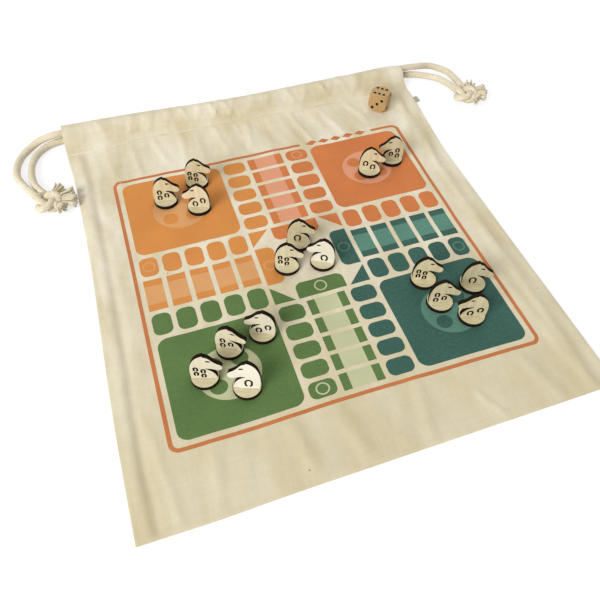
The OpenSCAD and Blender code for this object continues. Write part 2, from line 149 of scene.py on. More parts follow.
def surface(tree, colour, height, bump, depth, roughness, specular, sheen=0.0):
    """Feeds the shader: colour, a bump of some strength and a depth in mm, and its shine."""
    shader = tree.nodes["Principled BSDF"]
    tree.links.new(colour, shader.inputs["Base Color"])
    raised = add(tree, "Bump", {"Height": height, "Strength": bump, "Distance": depth * MM})
    tree.links.new(raised.outputs[0], shader.inputs["Normal"])
    for socket, value in (("Roughness", roughness), ("Specular IOR Level", specular),
            ("Sheen Weight", sheen)):
        shader.inputs[socket].default_value = value


print("mid grey is", [round(v, 3) for v in linear("#808080")])

# %% [markdown]
# ## Cotton
# The bag is unbleached cotton canvas in plain weave. Warp and weft threads lie about 0.6 mm apart
# on the real cloth. At this render size that would be finer than a pixel, so the weave is drawn at
# 0.9 mm. The eye takes it in as a soft matt surface with slubs, thicker bits of yarn, and a few
# dark specks of seed husk. Towards the foot of the bag the colour is a little browner: painted
# shade where less light falls. Threads follow the cloth, so the pattern reads the UV map, which
# every sheet gets in metres.

# %% Cotton canvas material
WEAVE_PITCH, SEED_PITCH = 0.9, 16
# A wave texture repeats each 2 pi / 20 of its scaled coordinate
WAVE_UNIT = math.tau / 20
CANVAS = ("#D4C7A4", "#EDE5D0")


def weave_height(tree, uv):
    """Over and under of a plain weave, from 0 to 1."""
    bands = [add(tree, "TexWave", {"Vector": uv, "Scale": WAVE_UNIT / (2 * WEAVE_PITCH * MM),
        "Distortion": 1.2, "Detail": 2.0, "Detail Scale": 1.5}, bands_direction=way)
        for way in ("X", "Y")]
    warp, weft = (maths(tree, "SUBTRACT", b.outputs["Fac"], 0.5) for b in bands)
    return maths(tree, "MULTIPLY_ADD", warp, weft, 0.5)


def cotton_colour(tree, uv, dark, light):
    """Cloth colour: slubs along both threads, pale patches, painted shade that browns the foot, and
    seed specks.
    """
    slub = maths(tree, "MULTIPLY", clouds(tree, uv, 1.6, 3.0, (1.0, 0.08)),
        clouds(tree, uv, 1.6, 3.0, (0.08, 1.0)))
    patch = remap(tree, clouds(tree, uv, 30, 5.0, (1.0, 0.45), Roughness=0.62), 0.36, 0.66)
    base = blend(tree, patch, linear(dark), linear(light))
    # Painted shade: the colour turns browner towards the foot of the bag, where less light falls
    up_the_bag = add(tree, "SeparateXYZ", {0: uv}).outputs["Y"]
    foot = maths(tree, "MULTIPLY", remap(tree, up_the_bag, 0.02, -0.14), 0.55)
    foot_shaded = blend(tree, foot, base, linear("#CFC29C"))
    shaded = blend(tree, 1.0, foot_shaded, remap(tree, slub, 0.12, 0.42, 0.965, 1.03), "MULTIPLY")
    cells = add(tree, "TexVoronoi", {"Vector": uv, "Scale": 1 / (SEED_PITCH * MM)})
    chance = add(tree, "SeparateColor", {"Color": cells.outputs["Color"]}).outputs[0]
    seed = maths(tree, "MULTIPLY", maths(tree, "GREATER_THAN", chance, 0.86),
        maths(tree, "LESS_THAN", cells.outputs["Distance"], 0.034))
    return blend(tree, maths(tree, "MULTIPLY", seed, 0.7), shaded, linear("#6B5335"))


def cotton_material(name, dark, light):
    material, tree, uv = new_material(name, "threads")
    surface(tree, cotton_colour(tree, uv, dark, light), weave_height(tree, uv), bump=0.35,
        depth=0.2, roughness=0.92, specular=0.25, sheen=0.08)
    return material


canvas = cotton_material("cotton_canvas_plain_weave", *CANVAS)
tape = cotton_material("cotton_tape_washed_grey", "#A39A90", "#B7AFA5")
print("cotton materials:", canvas.name, tape.name)

# %% [markdown]
# ## Cord
# The two drawcords are braided cotton cord, 5.6 mm thick. A braid is two sets of yarns that wind
# round in opposite ways and pass over and under each other, which leaves rows of small diamonds.
# They stand out far enough to show on the outline, so they are built into the mesh: the radius is
# a product of two waves, one for each set of yarns. The same function makes every cord, held,
# sliding, free or knotted.

# %% Rope material
rope, tree, uv = new_material("cotton_cord_braided", "threads")
fibre = clouds(tree, uv, 0.7, 3.0, (1.0, 0.25))
soil = remap(tree, maths(tree, "MULTIPLY", fibre, clouds(tree, uv, 14, 2.0)), 0.14, 0.4)
surface(tree, blend(tree, soil, linear("#D6C8A8"), linear("#EFE6D0")), fibre, bump=0.5,
    depth=0.2, roughness=0.9, specular=0.25, sheen=0.1)
print("cord material:", rope.name)

# %% Paths for cords
def smooth_path(points, step):
    """Catmull-Rom curve through the points, in mm, cut into even steps."""
    pts = [Vector(p) for p in points]
    pts = [2 * pts[0] - pts[1]] + pts + [2 * pts[-1] - pts[-2]]
    dense = []
    for a, b, c, d in zip(pts, pts[1:], pts[2:], pts[3:]):
        for i in range(20):
            t = i / 20
            dense.append(0.5 * (2 * b + (c - a) * t + (2 * a - 5 * b + 4 * c - d) * t * t
                + (3 * b - a - 3 * c + d) * t ** 3))
    dense.append(pts[-2])
    return even_steps(dense, step)


def even_steps(dense, step):
    """The same line, cut into steps of one length close to the one asked for."""
    lengths = [0.0]
    for a, b in zip(dense, dense[1:]):
        lengths.append(lengths[-1] + (b - a).length)
    count = max(2, round(lengths[-1] / step))
    path, k = [], 0
    for i in range(count + 1):
        want = lengths[-1] * i / count
        while k < len(dense) - 2 and lengths[k + 1] < want:
            k += 1
        share = (want - lengths[k]) / max(lengths[k + 1] - lengths[k], 1e-9)
        path.append(dense[k].lerp(dense[k + 1], min(1.0, share)))
    return path


def path_length(path):
    return sum((b - a).length for a, b in zip(path, path[1:]))


print("a corner of 10 by 10 mm, rounded, is", round(path_length(smooth_path(
    [(0, 0, 0), (10, 0, 0), (10, 10, 0)], 0.5)), 1), "mm long")

# %% Braided tube
CORD_D = 5.6
BRAID_YARNS = 8        # yarns that wind each way
BRAID_LAY = 20.0       # mm along the cord for one full turn of a yarn
BRAID_DEPTH = 0.22     # mm from a yarn's crown to the hollow between yarns


def braid_wave(angle, along):
    """1 on a yarn's crown and 0 in the hollows, from two sets of yarns that cross."""
    a, s = BRAID_YARNS * angle / 2, math.pi * BRAID_YARNS * along / BRAID_LAY
    return abs(math.sin(a + s) * math.sin(a - s))


def rope_tube(bm, path, radius, sides=24, closed=False, braid=BRAID_DEPTH):
    """Adds a braided tube along a path in mm to a mesh, with its threads map."""
    threads = bm.loops.layers.uv.get("threads") or bm.loops.layers.uv.new("threads")
    count = len(path)
    tangents = []
    for i in range(count):
        after = path[(i + 1) % count] if closed else path[min(i + 1, count - 1)]
        before = path[i - 1] if closed or i else path[0]
        tangents.append((after - before).normalized())
    side = tangents[0].orthogonal().normalized()
    frames = []
    for t in tangents:
        side = (side - t * side.dot(t)).normalized()
        frames.append((side.copy(), t.cross(side)))
    # A closed tube's frame comes back turned by some angle, which is spread over its length
    gap = 0.0
    if closed:
        end = frames[-1][0] - tangents[0] * frames[-1][0].dot(tangents[0])
        gap = math.atan2(end.dot(frames[0][1]), end.dot(frames[0][0]))
    rings, along = [], 0.0
    for i, (p, (u, v)) in enumerate(zip(path, frames)):
        if i:
            along += (p - path[i - 1]).length
        ring = []
        for k in range(sides):
            a = math.tau * k / sides - gap * i / count
            # Crowns stand a little proud of the radius, and the hollows lie below it
            r = radius + braid * (0.8 * braid_wave(a, along) - 0.5)
            ring.append(bm.verts.new((p + (u * math.cos(a) + v * math.sin(a)) * r) * MM))
        rings.append((ring, along))
    pairs = list(zip(rings, rings[1:])) + ([(rings[-1], rings[0])] if closed else [])
    for (low, s0), (high, s1) in pairs:
        # The last ring of a closed tube meets the first one
        s1 = s1 if s1 > s0 else s0 + 1.0
        for k in range(sides):
            n = (k + 1) % sides
            face = bm.faces.new((low[k], low[n], high[n], high[k]))
            around = (k / sides, (k + 1) / sides)
            corners = ((around[0], s0), (around[1], s0), (around[1], s1), (around[0], s1))
            for loop, (a, s) in zip(face.loops, corners):
                loop[threads].uv = (a * math.pi * CORD_D * MM, s * MM)
            face.smooth = True
    if not closed:
        for ring, turned in ((rings[0][0], True), (rings[-1][0], False)):
            bm.faces.new(list(reversed(ring)) if turned else ring)


def finish_mesh(bm, name, material):
    """Makes an object of an edited mesh, with its faces outward and one material."""
    bmesh.ops.recalc_face_normals(bm, faces=bm.faces)
    mesh = bpy.data.meshes.new(name)
    bm.to_mesh(mesh)
    bm.free()
    piece = bpy.data.objects.new(name, mesh)
    bpy.context.scene.collection.objects.link(piece)
    mesh.materials.append(material)
    return piece


def mount(piece, body, slot, *nodes):
    """Parents a piece to the body it rides on and hides the CAD nodes it stands in for; slot is not
    used.
    """
    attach(piece, body)
    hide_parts(*nodes)


print("cord:", CORD_D, "mm thick, with", 2 * BRAID_YARNS, "yarns")

# %% [markdown]
# ## The free cords
# Each drawcord leaves the hem at one end of the mouth as two strands that meet in a knot. The
# photograph shows each strand from the hem to its knot, so what it shows is its length. The routes
# repeat the CAD source's points. Cotton cord is limp: it drops from the hem to the surface within
# a few diameters and then lies on it.

# %% Free strands
BAG_W, BAG_L = 300.0, 350.0
# Each cord's place up the bag, its height in the back and front hem, and when it lies down
LANE_RIGHT, LANE_LEFT = 171.45, 165.45
Z_BACK, Z_FRONT = 3.55, 10.65
LYING = CORD_D / 2 + 0.1
# Length in metres and route in mm, with its ends in the hem and in the knot
STRANDS = {
    "left_strand_upper": (0.100, [
        (-150, LANE_LEFT, Z_FRONT), (-157, LANE_LEFT, Z_FRONT), (-169, 166.4, LYING + 4.5),
        (-179, 163, LYING + 0.9), (-186.5, 154.5, LYING), (-190.5, 142, LYING),
        (-190.5, 130, LYING), (-186.5, 119, LYING), (-182, 110, LYING + 0.7),
        (-177.4, 100.5, LYING + 2.1)]),
    "left_strand_lower": (0.082, [
        (-150, LANE_LEFT, Z_BACK), (-156, LANE_LEFT, Z_BACK), (-166, 162.4, LYING + 0.1),
        (-174, 154.5, LYING), (-178.5, 144, LYING), (-180, 132, LYING), (-179, 120, LYING),
        (-176, 111.5, LYING + 0.2), (-172, 103.2, LYING + 1.5)]),
    "right_strand_upper": (0.087, [
        (150, LANE_RIGHT, Z_FRONT), (159, LANE_RIGHT, Z_FRONT), (173, 173, LYING + 6),
        (186, 175, LYING + 3.1), (196.5, 172, LYING + 0.5), (202.5, 163, LYING),
        (203.5, 152, LYING + 0.2), (202.8, 142, LYING + 1.3), (202.2, 135.1, LYING + 2.1)]),
    "right_strand_lower": (0.066, [
        (150, LANE_RIGHT, Z_BACK), (160, LANE_RIGHT, Z_BACK), (172, 168.6, LYING + 0.1),
        (182, 162.6, LYING), (189.6, 155.6, LYING), (194, 146, LYING),
        (195, 138.4, LYING + 0.6), (195.4, 134.8, LYING + 1.1)])}
STEP = 0.55            # mm from one ring of a cord to the next
strand_paths = {}
for name, (length, route) in STRANDS.items():
    path = smooth_path(route, STEP)
    bm = bmesh.new()
    rope_tube(bm, path, CORD_D / 2)
    piece = finish_mesh(bm, name + "_rope", rope)
    mount(piece, name.split("_")[0] + "_drawcord", "rope", name)
    strand_paths[name] = (piece, path)
    print(name, "is", round(path_length(path), 1), "mm long")

# %% [markdown]
# ## The knots
# The two strands of a cord are tied together in an overhand knot, and the cut ends fray. An
# overhand knot pulled tight is close to a trefoil, which a short formula gives: the cord goes
# twice round a ring while it passes three times through it. The frayed ends are bunches of soft
# yarns, each a thin bent tube, that spread from a stub of cord.

# %% Knot shapes
KNOT_CORD_D, KNOT_GAP = 4.8, 0.5
KNOT_SMALL = (KNOT_CORD_D + KNOT_GAP) / 2
KNOT_RING = KNOT_SMALL + (KNOT_CORD_D + KNOT_GAP) / math.sqrt(3) + 0.35
# Cotton swells where nothing squeezes it, so the scene's knot is plumper than the solid
KNOT_PLUMP = 0.3
KNOT_Z = KNOT_SMALL + KNOT_CORD_D / 2 + 0.1 + KNOT_PLUMP
KNOT_POINTS, FRAY_YARNS = 240, 44


def knot_point(t):
    """A point of the trefoil, in mm; t goes from 0 to a full turn."""
    r = KNOT_RING + KNOT_SMALL * math.cos(3 * t)
    return Vector((r * math.cos(2 * t), r * math.sin(2 * t), KNOT_SMALL * math.sin(3 * t)))


def frayed_end(bm, centre, angle, reach, draw):
    """A stub of cord from inside the knot and the thick soft yarns that spread from it."""
    out = Vector((math.cos(angle), math.sin(angle), 0))
    across = Vector((-out.y, out.x, 0))
    stub = [centre + out * d + Vector((0, 0, 0.8)) for d in (2.0, 5.0, 8.0, 10.5)]
    rope_tube(bm, stub, 2.7, sides=16, braid=0.1)
    for _ in range(FRAY_YARNS):
        turn, off = draw.uniform(0, math.tau), math.sqrt(draw.random())
        root = stub[-1] - out * 1.5 + across * (2.0 * off * math.cos(turn)) + Vector(
            (0, 0, 2.0 * off * math.sin(turn)))
        spread = across * (3.4 * off * math.cos(turn)) + Vector(
            (0, 0, 2.4 * off * math.sin(turn) - 0.4))
        length, curl = reach * draw.uniform(0.8, 1.0), draw.uniform(-0.7, 0.7)
        yarn = []
        for i in range(6):
            t = i / 5
            p = root + out * (length * t) + spread * t + across * (curl * math.sin(3 * t))
            p.z = max(p.z - 0.6 * t * t, 0.8)
            yarn.append(p)
        rope_tube(bm, yarn, draw.uniform(0.5, 0.72), sides=6, braid=0.0)


print("a knot is", round(2 * (KNOT_RING + KNOT_SMALL) + KNOT_CORD_D, 1), "mm across")

# %% Tie the knots
# Middle, turn, and the frayed ends as direction and length in mm
KNOTS = {
    "left": ((-169.5, 92), 110, ((-46, 6), (-14, 13), (14, 12), (54, 9))),
    "right": ((199, 124), 90, ((-58, 5), (-24, 10), (2, 12), (46, 10)))}
draw = random.Random(7)
for side, (at, turn, frays) in KNOTS.items():
    centre = Vector((*at, KNOT_Z))
    spin = Matrix.Rotation(math.radians(turn), 3, "Z")
    loops = [centre + spin @ knot_point(math.tau * i / KNOT_POINTS) for i in range(KNOT_POINTS)]
    bm = bmesh.new()
    rope_tube(bm, even_steps(loops + [loops[0]], STEP)[:-1], KNOT_CORD_D / 2 + KNOT_PLUMP,
        closed=True)
    for angle, reach in frays:
        frayed_end(bm, centre, math.radians(angle), reach, draw)
    # A plug carries each strand into the knot
    for height in ("upper", "lower"):
        path = strand_paths[f"{side}_strand_{height}"][1]
        way = (path[-1] - path[-3]).normalized()
        rope_tube(bm, [path[-1] + way * d for d in (-1.5, 0.0, 2.0, 3.5)], CORD_D / 2 - 0.2)
    piece = finish_mesh(bm, side + "_knot_rope", rope)
    mount(piece, side + "_drawcord", "rope", side + "_knot")
    print(side, "knot has", len(piece.data.polygons), "faces")

for name, (piece, path) in strand_paths.items():
    length, route = STRANDS[name]
print(len(strand_paths), "free strands declared")

# %% [markdown]
# ## The cord inside the hem
# Each cord lies in two ducts, one in the front hem and one in the back hem, and turns round at
# the far end. Two tails slide when it is pulled. The mouth of the bag sags a little towards the
# board in the middle, and the cords that stay inside follow it.

# %% Held cords and sliding tails
TAIL, TAIL_GAP, HELD_STEP = 60.0, 0.3, 1.0
TURN_R = (Z_FRONT - Z_BACK) / 2
TURN_X = BAG_W / 2 - TURN_R - CORD_D / 2 - 0.25


def ease(t):
    """A soft step: 0 up to t = 0, and 1 from t = 1 on."""
    t = min(1.0, max(0.0, t))
    return t * t * (3 - 2 * t)


def mouth_sag(x):
    """How far the middle of the mouth lies towards the board, in mm."""
    return -1.3 - 3.7 * math.exp(-((x + 2) / 70) ** 2)


def lane_sag(x):
    """The same for the cords, which keep to the CAD's exits at both ends of the mouth."""
    return mouth_sag(x) * ease((BAG_W / 2 - abs(x)) / 45)


# The right cord is the left one's mirror image in its own lane
for side, lane, way in (("left", LANE_LEFT, 1), ("right", LANE_RIGHT, -1)):
    start_x = -BAG_W / 2 + TAIL + TAIL_GAP
    xs = [start_x + (TURN_X - start_x) * i / 24 for i in range(25)]
    bend = [(TURN_X + TURN_R * math.sin(a), (Z_BACK + Z_FRONT) / 2 - TURN_R * math.cos(a))
        for a in (math.pi * i / 12 for i in range(1, 12))]
    flat = [(x, Z_BACK) for x in xs] + bend + [(x, Z_FRONT) for x in reversed(xs)]
    bm = bmesh.new()
    rope_tube(bm, smooth_path([(way * x, lane + lane_sag(way * x), z) for x, z in flat],
        HELD_STEP), CORD_D / 2, sides=16)
    held = finish_mesh(bm, side + "_cord_held_rope", rope)
    mount(held, "bag", "rope", side + "_cord_held")
    bm = bmesh.new()
    for z in (Z_BACK, Z_FRONT):
        rope_tube(bm, smooth_path([(way * (TAIL * i / 4 - BAG_W / 2), lane, z)
            for i in range(5)], STEP), CORD_D / 2)
    tails = finish_mesh(bm, side + "_cord_tails_rope", rope)
    mount(tails, side + "_drawcord", "rope", side + "_cord_tails")
    print(side, "cord: held", len(held.data.polygons), "faces")

# %% [markdown]
# ## How the cloth lies
# The bag is not a flat plate. It was sewn a little crooked, its mouth flares at the right, and its
# ply lies in soft folds. All this is one pair of functions of a place on the ideal flat bag:
# `shift` slides the place within the plane, and `relief` lifts or sinks it. Sheet, print and
# stitches all go through them, so they stay together. The cloth stays flat under each playing
# piece, where its weight presses it down.

# %% Shift in the plane
# The stitch line and the middle of the printed square, up the bag, and half the square's side
STITCH, BOARD_Y, BOARD_HALF = 143.0, -12.0, 120.0


def shift(x, y):
    """Place in the plane, in mm, of a point of the ideal flat bag."""
    # Both side seams wander, the right one outward towards the mouth
    left = ease((-x - 105) / 45) * (2.3 - 2.9 * ease((y - 100) / 50)
        + 0.7 * math.cos((y - 20) / 38))
    right = ease((x - 105) / 45) * (9.0 * (max(0.0, y - 60) / 100) ** 1.15 - 2.0
        - 3.8 * ease((y - 138) / 22) - 2.0 * ease((y - 166) / 8))
    # The bottom runs a little askew, the stitch line bows up and the mouth sags
    bottom = ease((-y - 135) / 40) * (-0.3 + 0.0174 * x - 0.7 * math.exp(-((x + 105) / 30) ** 2))
    seam = (2.5 + 4.5 * ease((x + 140) / 50)) * math.exp(-((y - STITCH) / 13) ** 2)
    top = seam + ease((y - 140) / 25) * mouth_sag(x) + ease((x - 95) / 45) * (
        2.2 * ease((y - 165) / 10)) - 1.5 * ease((x - 140) / 10) * ease((y - 166) / 8)
    # The printed square was pulled out of true: bx and by go from -1 to 1 across it
    bx, by = x / BOARD_HALF, (y - BOARD_Y) / BOARD_HALF
    board = ease((152 - abs(x)) / 30) * ease((150 - abs(y - BOARD_Y)) / 28)
    pull_x = 0.3 + bx ** 3 - 0.7 * bx * bx + 2.0 * max(0.0, by) * ease((bx + 0.2) / 0.5)
    pull_y = (1.9 * bx - 4.4) * ease((by + 1.05) / 0.6) - 2.4 * ease(-1.3 * bx) * ease(
        (-by - 0.55) / 0.4)
    return x + left + right + board * pull_x, y + bottom + top + board * pull_y


print("top right corner moves by", [round(b - a, 1) for a, b in zip((150, 175),
    shift(150, 175))], "mm")

# %% Folds
# Two ends in mm, half width and height; a negative height is a hollow
FOLDS = [
    ((39, 142), (44, 110), 1.8, 1.5), ((30, 128), (35, 106), 1.6, 0.9),
    ((-82, 142), (-76, 122), 2.4, 1.2), ((-29, 143), (-25, 118), 2.2, 1.3),
    ((1, 142), (-6, 116), 2.4, 1.2), ((-12, 143), (-9, 128), 1.8, 1.0),
    ((-120, 140), (-114, 100), 3.5, 0.9), ((-101, 142), (-97, 116), 2.6, 1.0),
    ((-58, 142), (-60, 118), 2.4, 1.1), ((66, 142), (72, 118), 2.6, 1.1),
    ((92, 142), (99, 124), 2.4, 1.1), ((8, 138), (20, 112), 7.0, -0.9),
    ((-36, 138), (-38, 112), 7.0, -0.8), ((51, 138), (56, 114), 6.0, -0.8),
    ((138, 146), (128, 96), 4.0, 1.3), ((146, 120), (136, 60), 4.5, 1.0),
    ((62, -152), (71, -170), 1.7, 1.0), ((124, -70), (133, -172), 3.5, 0.9),
    ((-50, -138), (-46, -166), 5.0, 1.1), ((-96, -138), (-102, -172), 4.5, 1.0),
    ((-72, -136), (-78, -168), 5.0, -0.8), ((-20, -142), (-14, -172), 5.0, 0.9),
    ((8, -140), (2, -170), 5.0, -0.7), ((30, -138), (24, -172), 4.5, 0.9),
    ((100, -136), (110, -170), 4.5, 0.9), ((-128, -120), (-124, -170), 3.0, 0.8)]


def fold_height(x, y):
    """Each fold is a ridge between two faint hollows, and fades out at both ends."""
    total = 0.0
    for (x0, y0), (x1, y1), half, height in FOLDS:
        dx, dy = x1 - x0, y1 - y0
        t = ((x - x0) * dx + (y - y0) * dy) / (dx * dx + dy * dy)
        if -0.4 < t < 1.4:
            off = abs((x - x0) * dy - (y - y0) * dx) / math.hypot(dx, dy)
            ends = ease((t + 0.4) / 0.6) * ease((1.4 - t) / 0.6)
            total += height * ends * (math.exp(-(off / half) ** 2)
                - 0.35 * math.exp(-(off / (2.4 * half)) ** 2))
    return total


print(len(FOLDS), "folds, and at one of them", round(fold_height(42, 125), 2), "mm")

# %% Relief
FRONT_TOP = 2.0
# The front ply sinks no lower than this, where it would meet the back one
DEEPEST = -1.05
# Flat under a piece up to a distance from its middle, and free again some way further out
FLAT_R, FLAT_RISE = 10, 9


def middle_of(node):
    """Middle of a CAD node's box, in mm."""
    low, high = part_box(node)
    return (low + high) / (2 * MM)


weights = [middle_of(name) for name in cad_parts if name.endswith("_base")]
weights.append(middle_of("die"))


def relief(x, y):
    """Height of the front ply above its flat place, in mm."""
    side = BAG_W / 2 - abs(x)
    edge = min(side, y + BAG_L / 2)
    # The turned-in edge makes a ridge along each seam, and a valley beside it at the left
    if x < 0:
        valley = 14.5 - 2.0 * ease((-y - 60) / 90)
        seam = 0.7 * math.exp(-((side - 8) / 4) ** 2) \
            - 0.85 * math.exp(-((side - valley) / 2.8) ** 2)
    else:
        seam = math.exp(-((side - 14.5) / 3.5) ** 2) - 0.25 * math.exp(-((side - 5) / 4) ** 2)
    soft = 0.75 * noise.noise((x / 42, y / 60, 3.1)) + 0.4 * noise.noise((x / 15, y / 26, 7.7))
    gather = ease((y - 92) / 45) * 0.5 * noise.noise((x / 7, y / 30, 1.4))
    height = seam + soft + gather + fold_height(x, y)
    pressed = 1.0
    for w in weights:
        pressed *= ease((math.hypot(x - w.x, y - w.y) - FLAT_R) / FLAT_RISE)
        if pressed == 0:
            return 0.0
    inside = ease((edge + 0.5) / 5)
    return max(height * pressed * inside * (1 - 0.75 * ease((y - 137) / 6)), DEEPEST)


print("cloth presses flat under", len(weights), "pieces; height at one fold:",
    round(relief(44, 135), 2), "mm")

# %% Helpers for editing
def lay(obj, where):
    """Moves each vertex of a mesh from its flat place in mm to where the cloth lies."""
    for v in obj.data.vertices:
        v.co = Vector(where(*(v.co / MM))) * MM


def deselect():
    """Leaves edit mode, with nothing selected."""
    if bpy.context.mode != "OBJECT":
        bpy.ops.object.mode_set(mode="OBJECT")
    bpy.ops.object.select_all(action="DESELECT")


def take(obj):
    """Selects one object and makes it active."""
    deselect()
    obj.select_set(True)
    bpy.context.view_layer.objects.active = obj


def modify(obj, kind, **settings):
    """Adds a modifier and applies it."""
    take(obj)
    modifier = obj.modifiers.new(kind.lower(), kind)
    for name, value in settings.items():
        setattr(modifier, name, value)
    bpy.ops.object.modifier_apply(modifier=modifier.name)


def start(add_primitive, name, **settings):
    """Adds a primitive with nothing else selected, and names it."""
    deselect()
    add_primitive(**settings)
    made = bpy.context.object
    made.name = made.data.name = name
    return made


def turn_outward(obj):
    """Recalculates a mesh's normals so that all its faces point outward."""
    take(obj)
    bpy.ops.object.mode_set(mode="EDIT")
    bpy.ops.mesh.select_all(action="SELECT")
    bpy.ops.mesh.normals_make_consistent(inside=False)
    bpy.ops.object.mode_set(mode="OBJECT")


print("helpers work from", bpy.context.mode, "mode")

# %% [markdown]
# ## Front and back panel
# Each panel starts as a flat grid, as the cloth lies on the cutting table, and gets its threads
# map there. Solidify gives the ply its thickness, twice as thick along the sides and the bottom,
# where the edge is turned in, and a bevel rounds that fold. Only then is the whole sheet laid.

# %% Panels
CLOTH_T, TURN_IN = 0.5, 10.0


def map_threads(sheet):
    """Threads map in metres, taken from where a sheet's points lie on the flat cloth."""
    threads = sheet.data.uv_layers.active or sheet.data.uv_layers.new()
    threads.name = "threads"
    for loop in sheet.data.loops:
        threads.data[loop.index].uv = sheet.data.vertices[loop.vertex_index].co.xy


def panel(name, face, cells, grow):
    """A flat ply with one face at a height in mm; it grows down from there, or up if grow is 1."""
    width, length = BAG_W, STITCH + BAG_L / 2
    sheet = start(bpy.ops.mesh.primitive_grid_add, name, x_subdivisions=round(width / cells),
        y_subdivisions=round(length / cells), size=1)
    for v in sheet.data.vertices:
        v.co = Vector((v.co.x * width, (v.co.y + 0.5) * length - BAG_L / 2, face)) * MM
    map_threads(sheet)
    turned = sheet.vertex_groups.new(name="turned")
    for v in sheet.data.vertices:
        edge = min(BAG_W / 2 - abs(v.co.x / MM), v.co.y / MM + BAG_L / 2)
        turned.add([v.index], 1.0 if edge < TURN_IN else 0.5, "REPLACE")
    modify(sheet, "SOLIDIFY", thickness=2 * CLOTH_T * MM, offset=grow, vertex_group="turned")
    rim = sheet.vertex_groups.new(name="rim")
    rim.add([v.index for v in sheet.data.vertices if abs(v.co.x) > (BAG_W / 2 - 0.01) * MM
        or v.co.y < (-BAG_L / 2 + 0.01) * MM], 1.0, "REPLACE")
    modify(sheet, "BEVEL", width=0.8 * CLOTH_T * MM, segments=3, limit_method="VGROUP",
        vertex_group="rim")
    sheet.vertex_groups.clear()
    return sheet


def dress(sheet, material, *nodes, slot="canvas"):
    """Gives a finished sheet its material and smooth shading, and mounts it on the bag."""
    sheet.data.materials.clear()
    sheet.data.materials.append(material)
    take(sheet)
    bpy.ops.object.shade_smooth_by_angle(angle=math.radians(50))
    mount(sheet, "bag", slot, *nodes)


front = panel("front_panel_cloth", face=FRONT_TOP, cells=2.0, grow=-1)
lay(front, lambda x, y, z: (*shift(x, y), z + relief(x, y)))
dress(front, canvas, "front_panel")
back = panel("back_panel_cloth", face=0.0, cells=5.0, grow=1)
lay(back, lambda x, y, z: (*shift(x, y), z))
dress(back, canvas, "back_panel")
print("front panel has", len(front.data.polygons), "faces")

# %% [markdown]
# ## The hems
# Along the mouth each ply is folded back on itself and stitched down, which makes the duct for
# the cords. A hem is a strip that is bent round its cords: the profile is a smooth curve through
# a few points, from the stitch line over the cords, round the mouth and back underneath. Small
# puckers run across it where the cords have gathered the cloth.

# %% Profiles and puckers
FRONT_HEM = [(143, 2.0), (144.2, 1.75), (146, 2.35), (151, 5.0), (157, 9.0), (162, 12.4),
    (166.2, 14.1), (171.2, 14.2), (173.9, 13.1), (175.0, 10.65), (174.0, 8.2), (171.2, 7.2),
    (165.2, 7.2), (158, 4.8), (151, 2.4), (146.5, 1.6), (143, 1.5)]
BACK_HEM = [(143, 1.0), (146.5, 1.05), (151, 1.7), (158, 4.0), (165.2, 6.65), (171.2, 6.95),
    (173.9, 6.0), (175.0, 3.6), (173.9, 1.1), (171.2, 0.0), (160, 0.0), (150, 0.0), (143, 0.0)]
# Puckers: place along the mouth, half width and height in mm
PUCKERS = [(-121, 2.6, 0.6), (-94, 1.6, 1.3), (-90, 1.4, 1.1), (-78, 1.8, 0.8), (-64, 2.4, 0.7),
    (-51, 1.8, 1.3), (-38, 2.0, 0.8), (-27, 1.8, 1.5), (-22, 1.4, 1.2), (-15, 1.7, 1.5),
    (-8, 1.5, 1.1), (8, 2.4, 0.7), (24, 1.8, 0.8), (43, 1.8, 1.2), (58, 2.2, 0.7),
    (73, 1.7, 1.7), (82, 1.6, 0.8), (93, 1.8, 1.3), (108, 2.4, 0.8), (126, 2.6, 0.7)]


def pucker(x, y):
    """Height of the gathered cloth of a hem, in mm: puckers that lean, on small waves."""
    total = 0.3 + 0.5 * noise.noise((x / 8, y / 24, 5.5)) + 0.5 * noise.noise((x / 30, y / 14, 2.2))
    for at, half, height in PUCKERS:
        lean = (y - 165) * (0.35 if at % 2 else -0.3)
        total += height * math.exp(-((x - at + lean) / half) ** 2)
    return max(total, -0.1) * (1 - 0.85 * ease((y - 166) / 6))


print(len(PUCKERS), "puckers, and at one of them", round(pucker(73, 160), 2), "mm")

# %% Front and back hem
def hem(name, profile, rough):
    """A strip bent round its cords, lofted along the mouth."""
    outline = smooth_path([(0, y, z) for y, z in profile], 1.1)
    strip = start(bpy.ops.mesh.primitive_grid_add, name, x_subdivisions=round(BAG_W / 2),
        y_subdivisions=len(outline) - 1, size=2)
    along = path_length(outline)
    rows = [(p, outline[min(i + 1, len(outline) - 1)] - outline[max(i - 1, 0)])
        for i, p in enumerate(outline)]
    threads = strip.data.uv_layers[0]
    threads.name = "threads"
    for loop in strip.data.loops:
        co = strip.data.vertices[loop.vertex_index].co
        threads.data[loop.index].uv = (co.x * BAG_W / 2 * MM,
            (STITCH + along * (co.y + 1) / 2) * MM)
    for v in strip.data.vertices:
        x = v.co.x * BAG_W / 2
        p, step = rows[round((v.co.y + 1) / 2 * (len(outline) - 1))]
        out = Vector((0, -step.z, step.y)).normalized()
        lift = rough * pucker(x, p.y) * ease((p.y - 145) / 10) * (1 if p.z > 6.5 else 0.15)
        q = p + out * lift
        seam = relief(x, STITCH) * ease((150 - p.y) / 7) * (rough if p.z < 4 else 0)
        v.co = Vector((*shift(x, q.y), max(q.z + seam, 0.0))) * MM
    modify(strip, "SOLIDIFY", thickness=CLOTH_T * MM, offset=-1)
    modify(strip, "BEVEL", width=0.18 * MM, segments=2, limit_method="ANGLE",
        angle_limit=math.radians(70))
    return strip


front_hem = hem("front_hem_cloth", FRONT_HEM, rough=1.0)
dress(front_hem, canvas, "front_hem")
back_hem = hem("back_hem_cloth", BACK_HEM, rough=0.0)
dress(back_hem, canvas, "back_hem")
print("front hem has", len(front_hem.data.polygons), "faces")

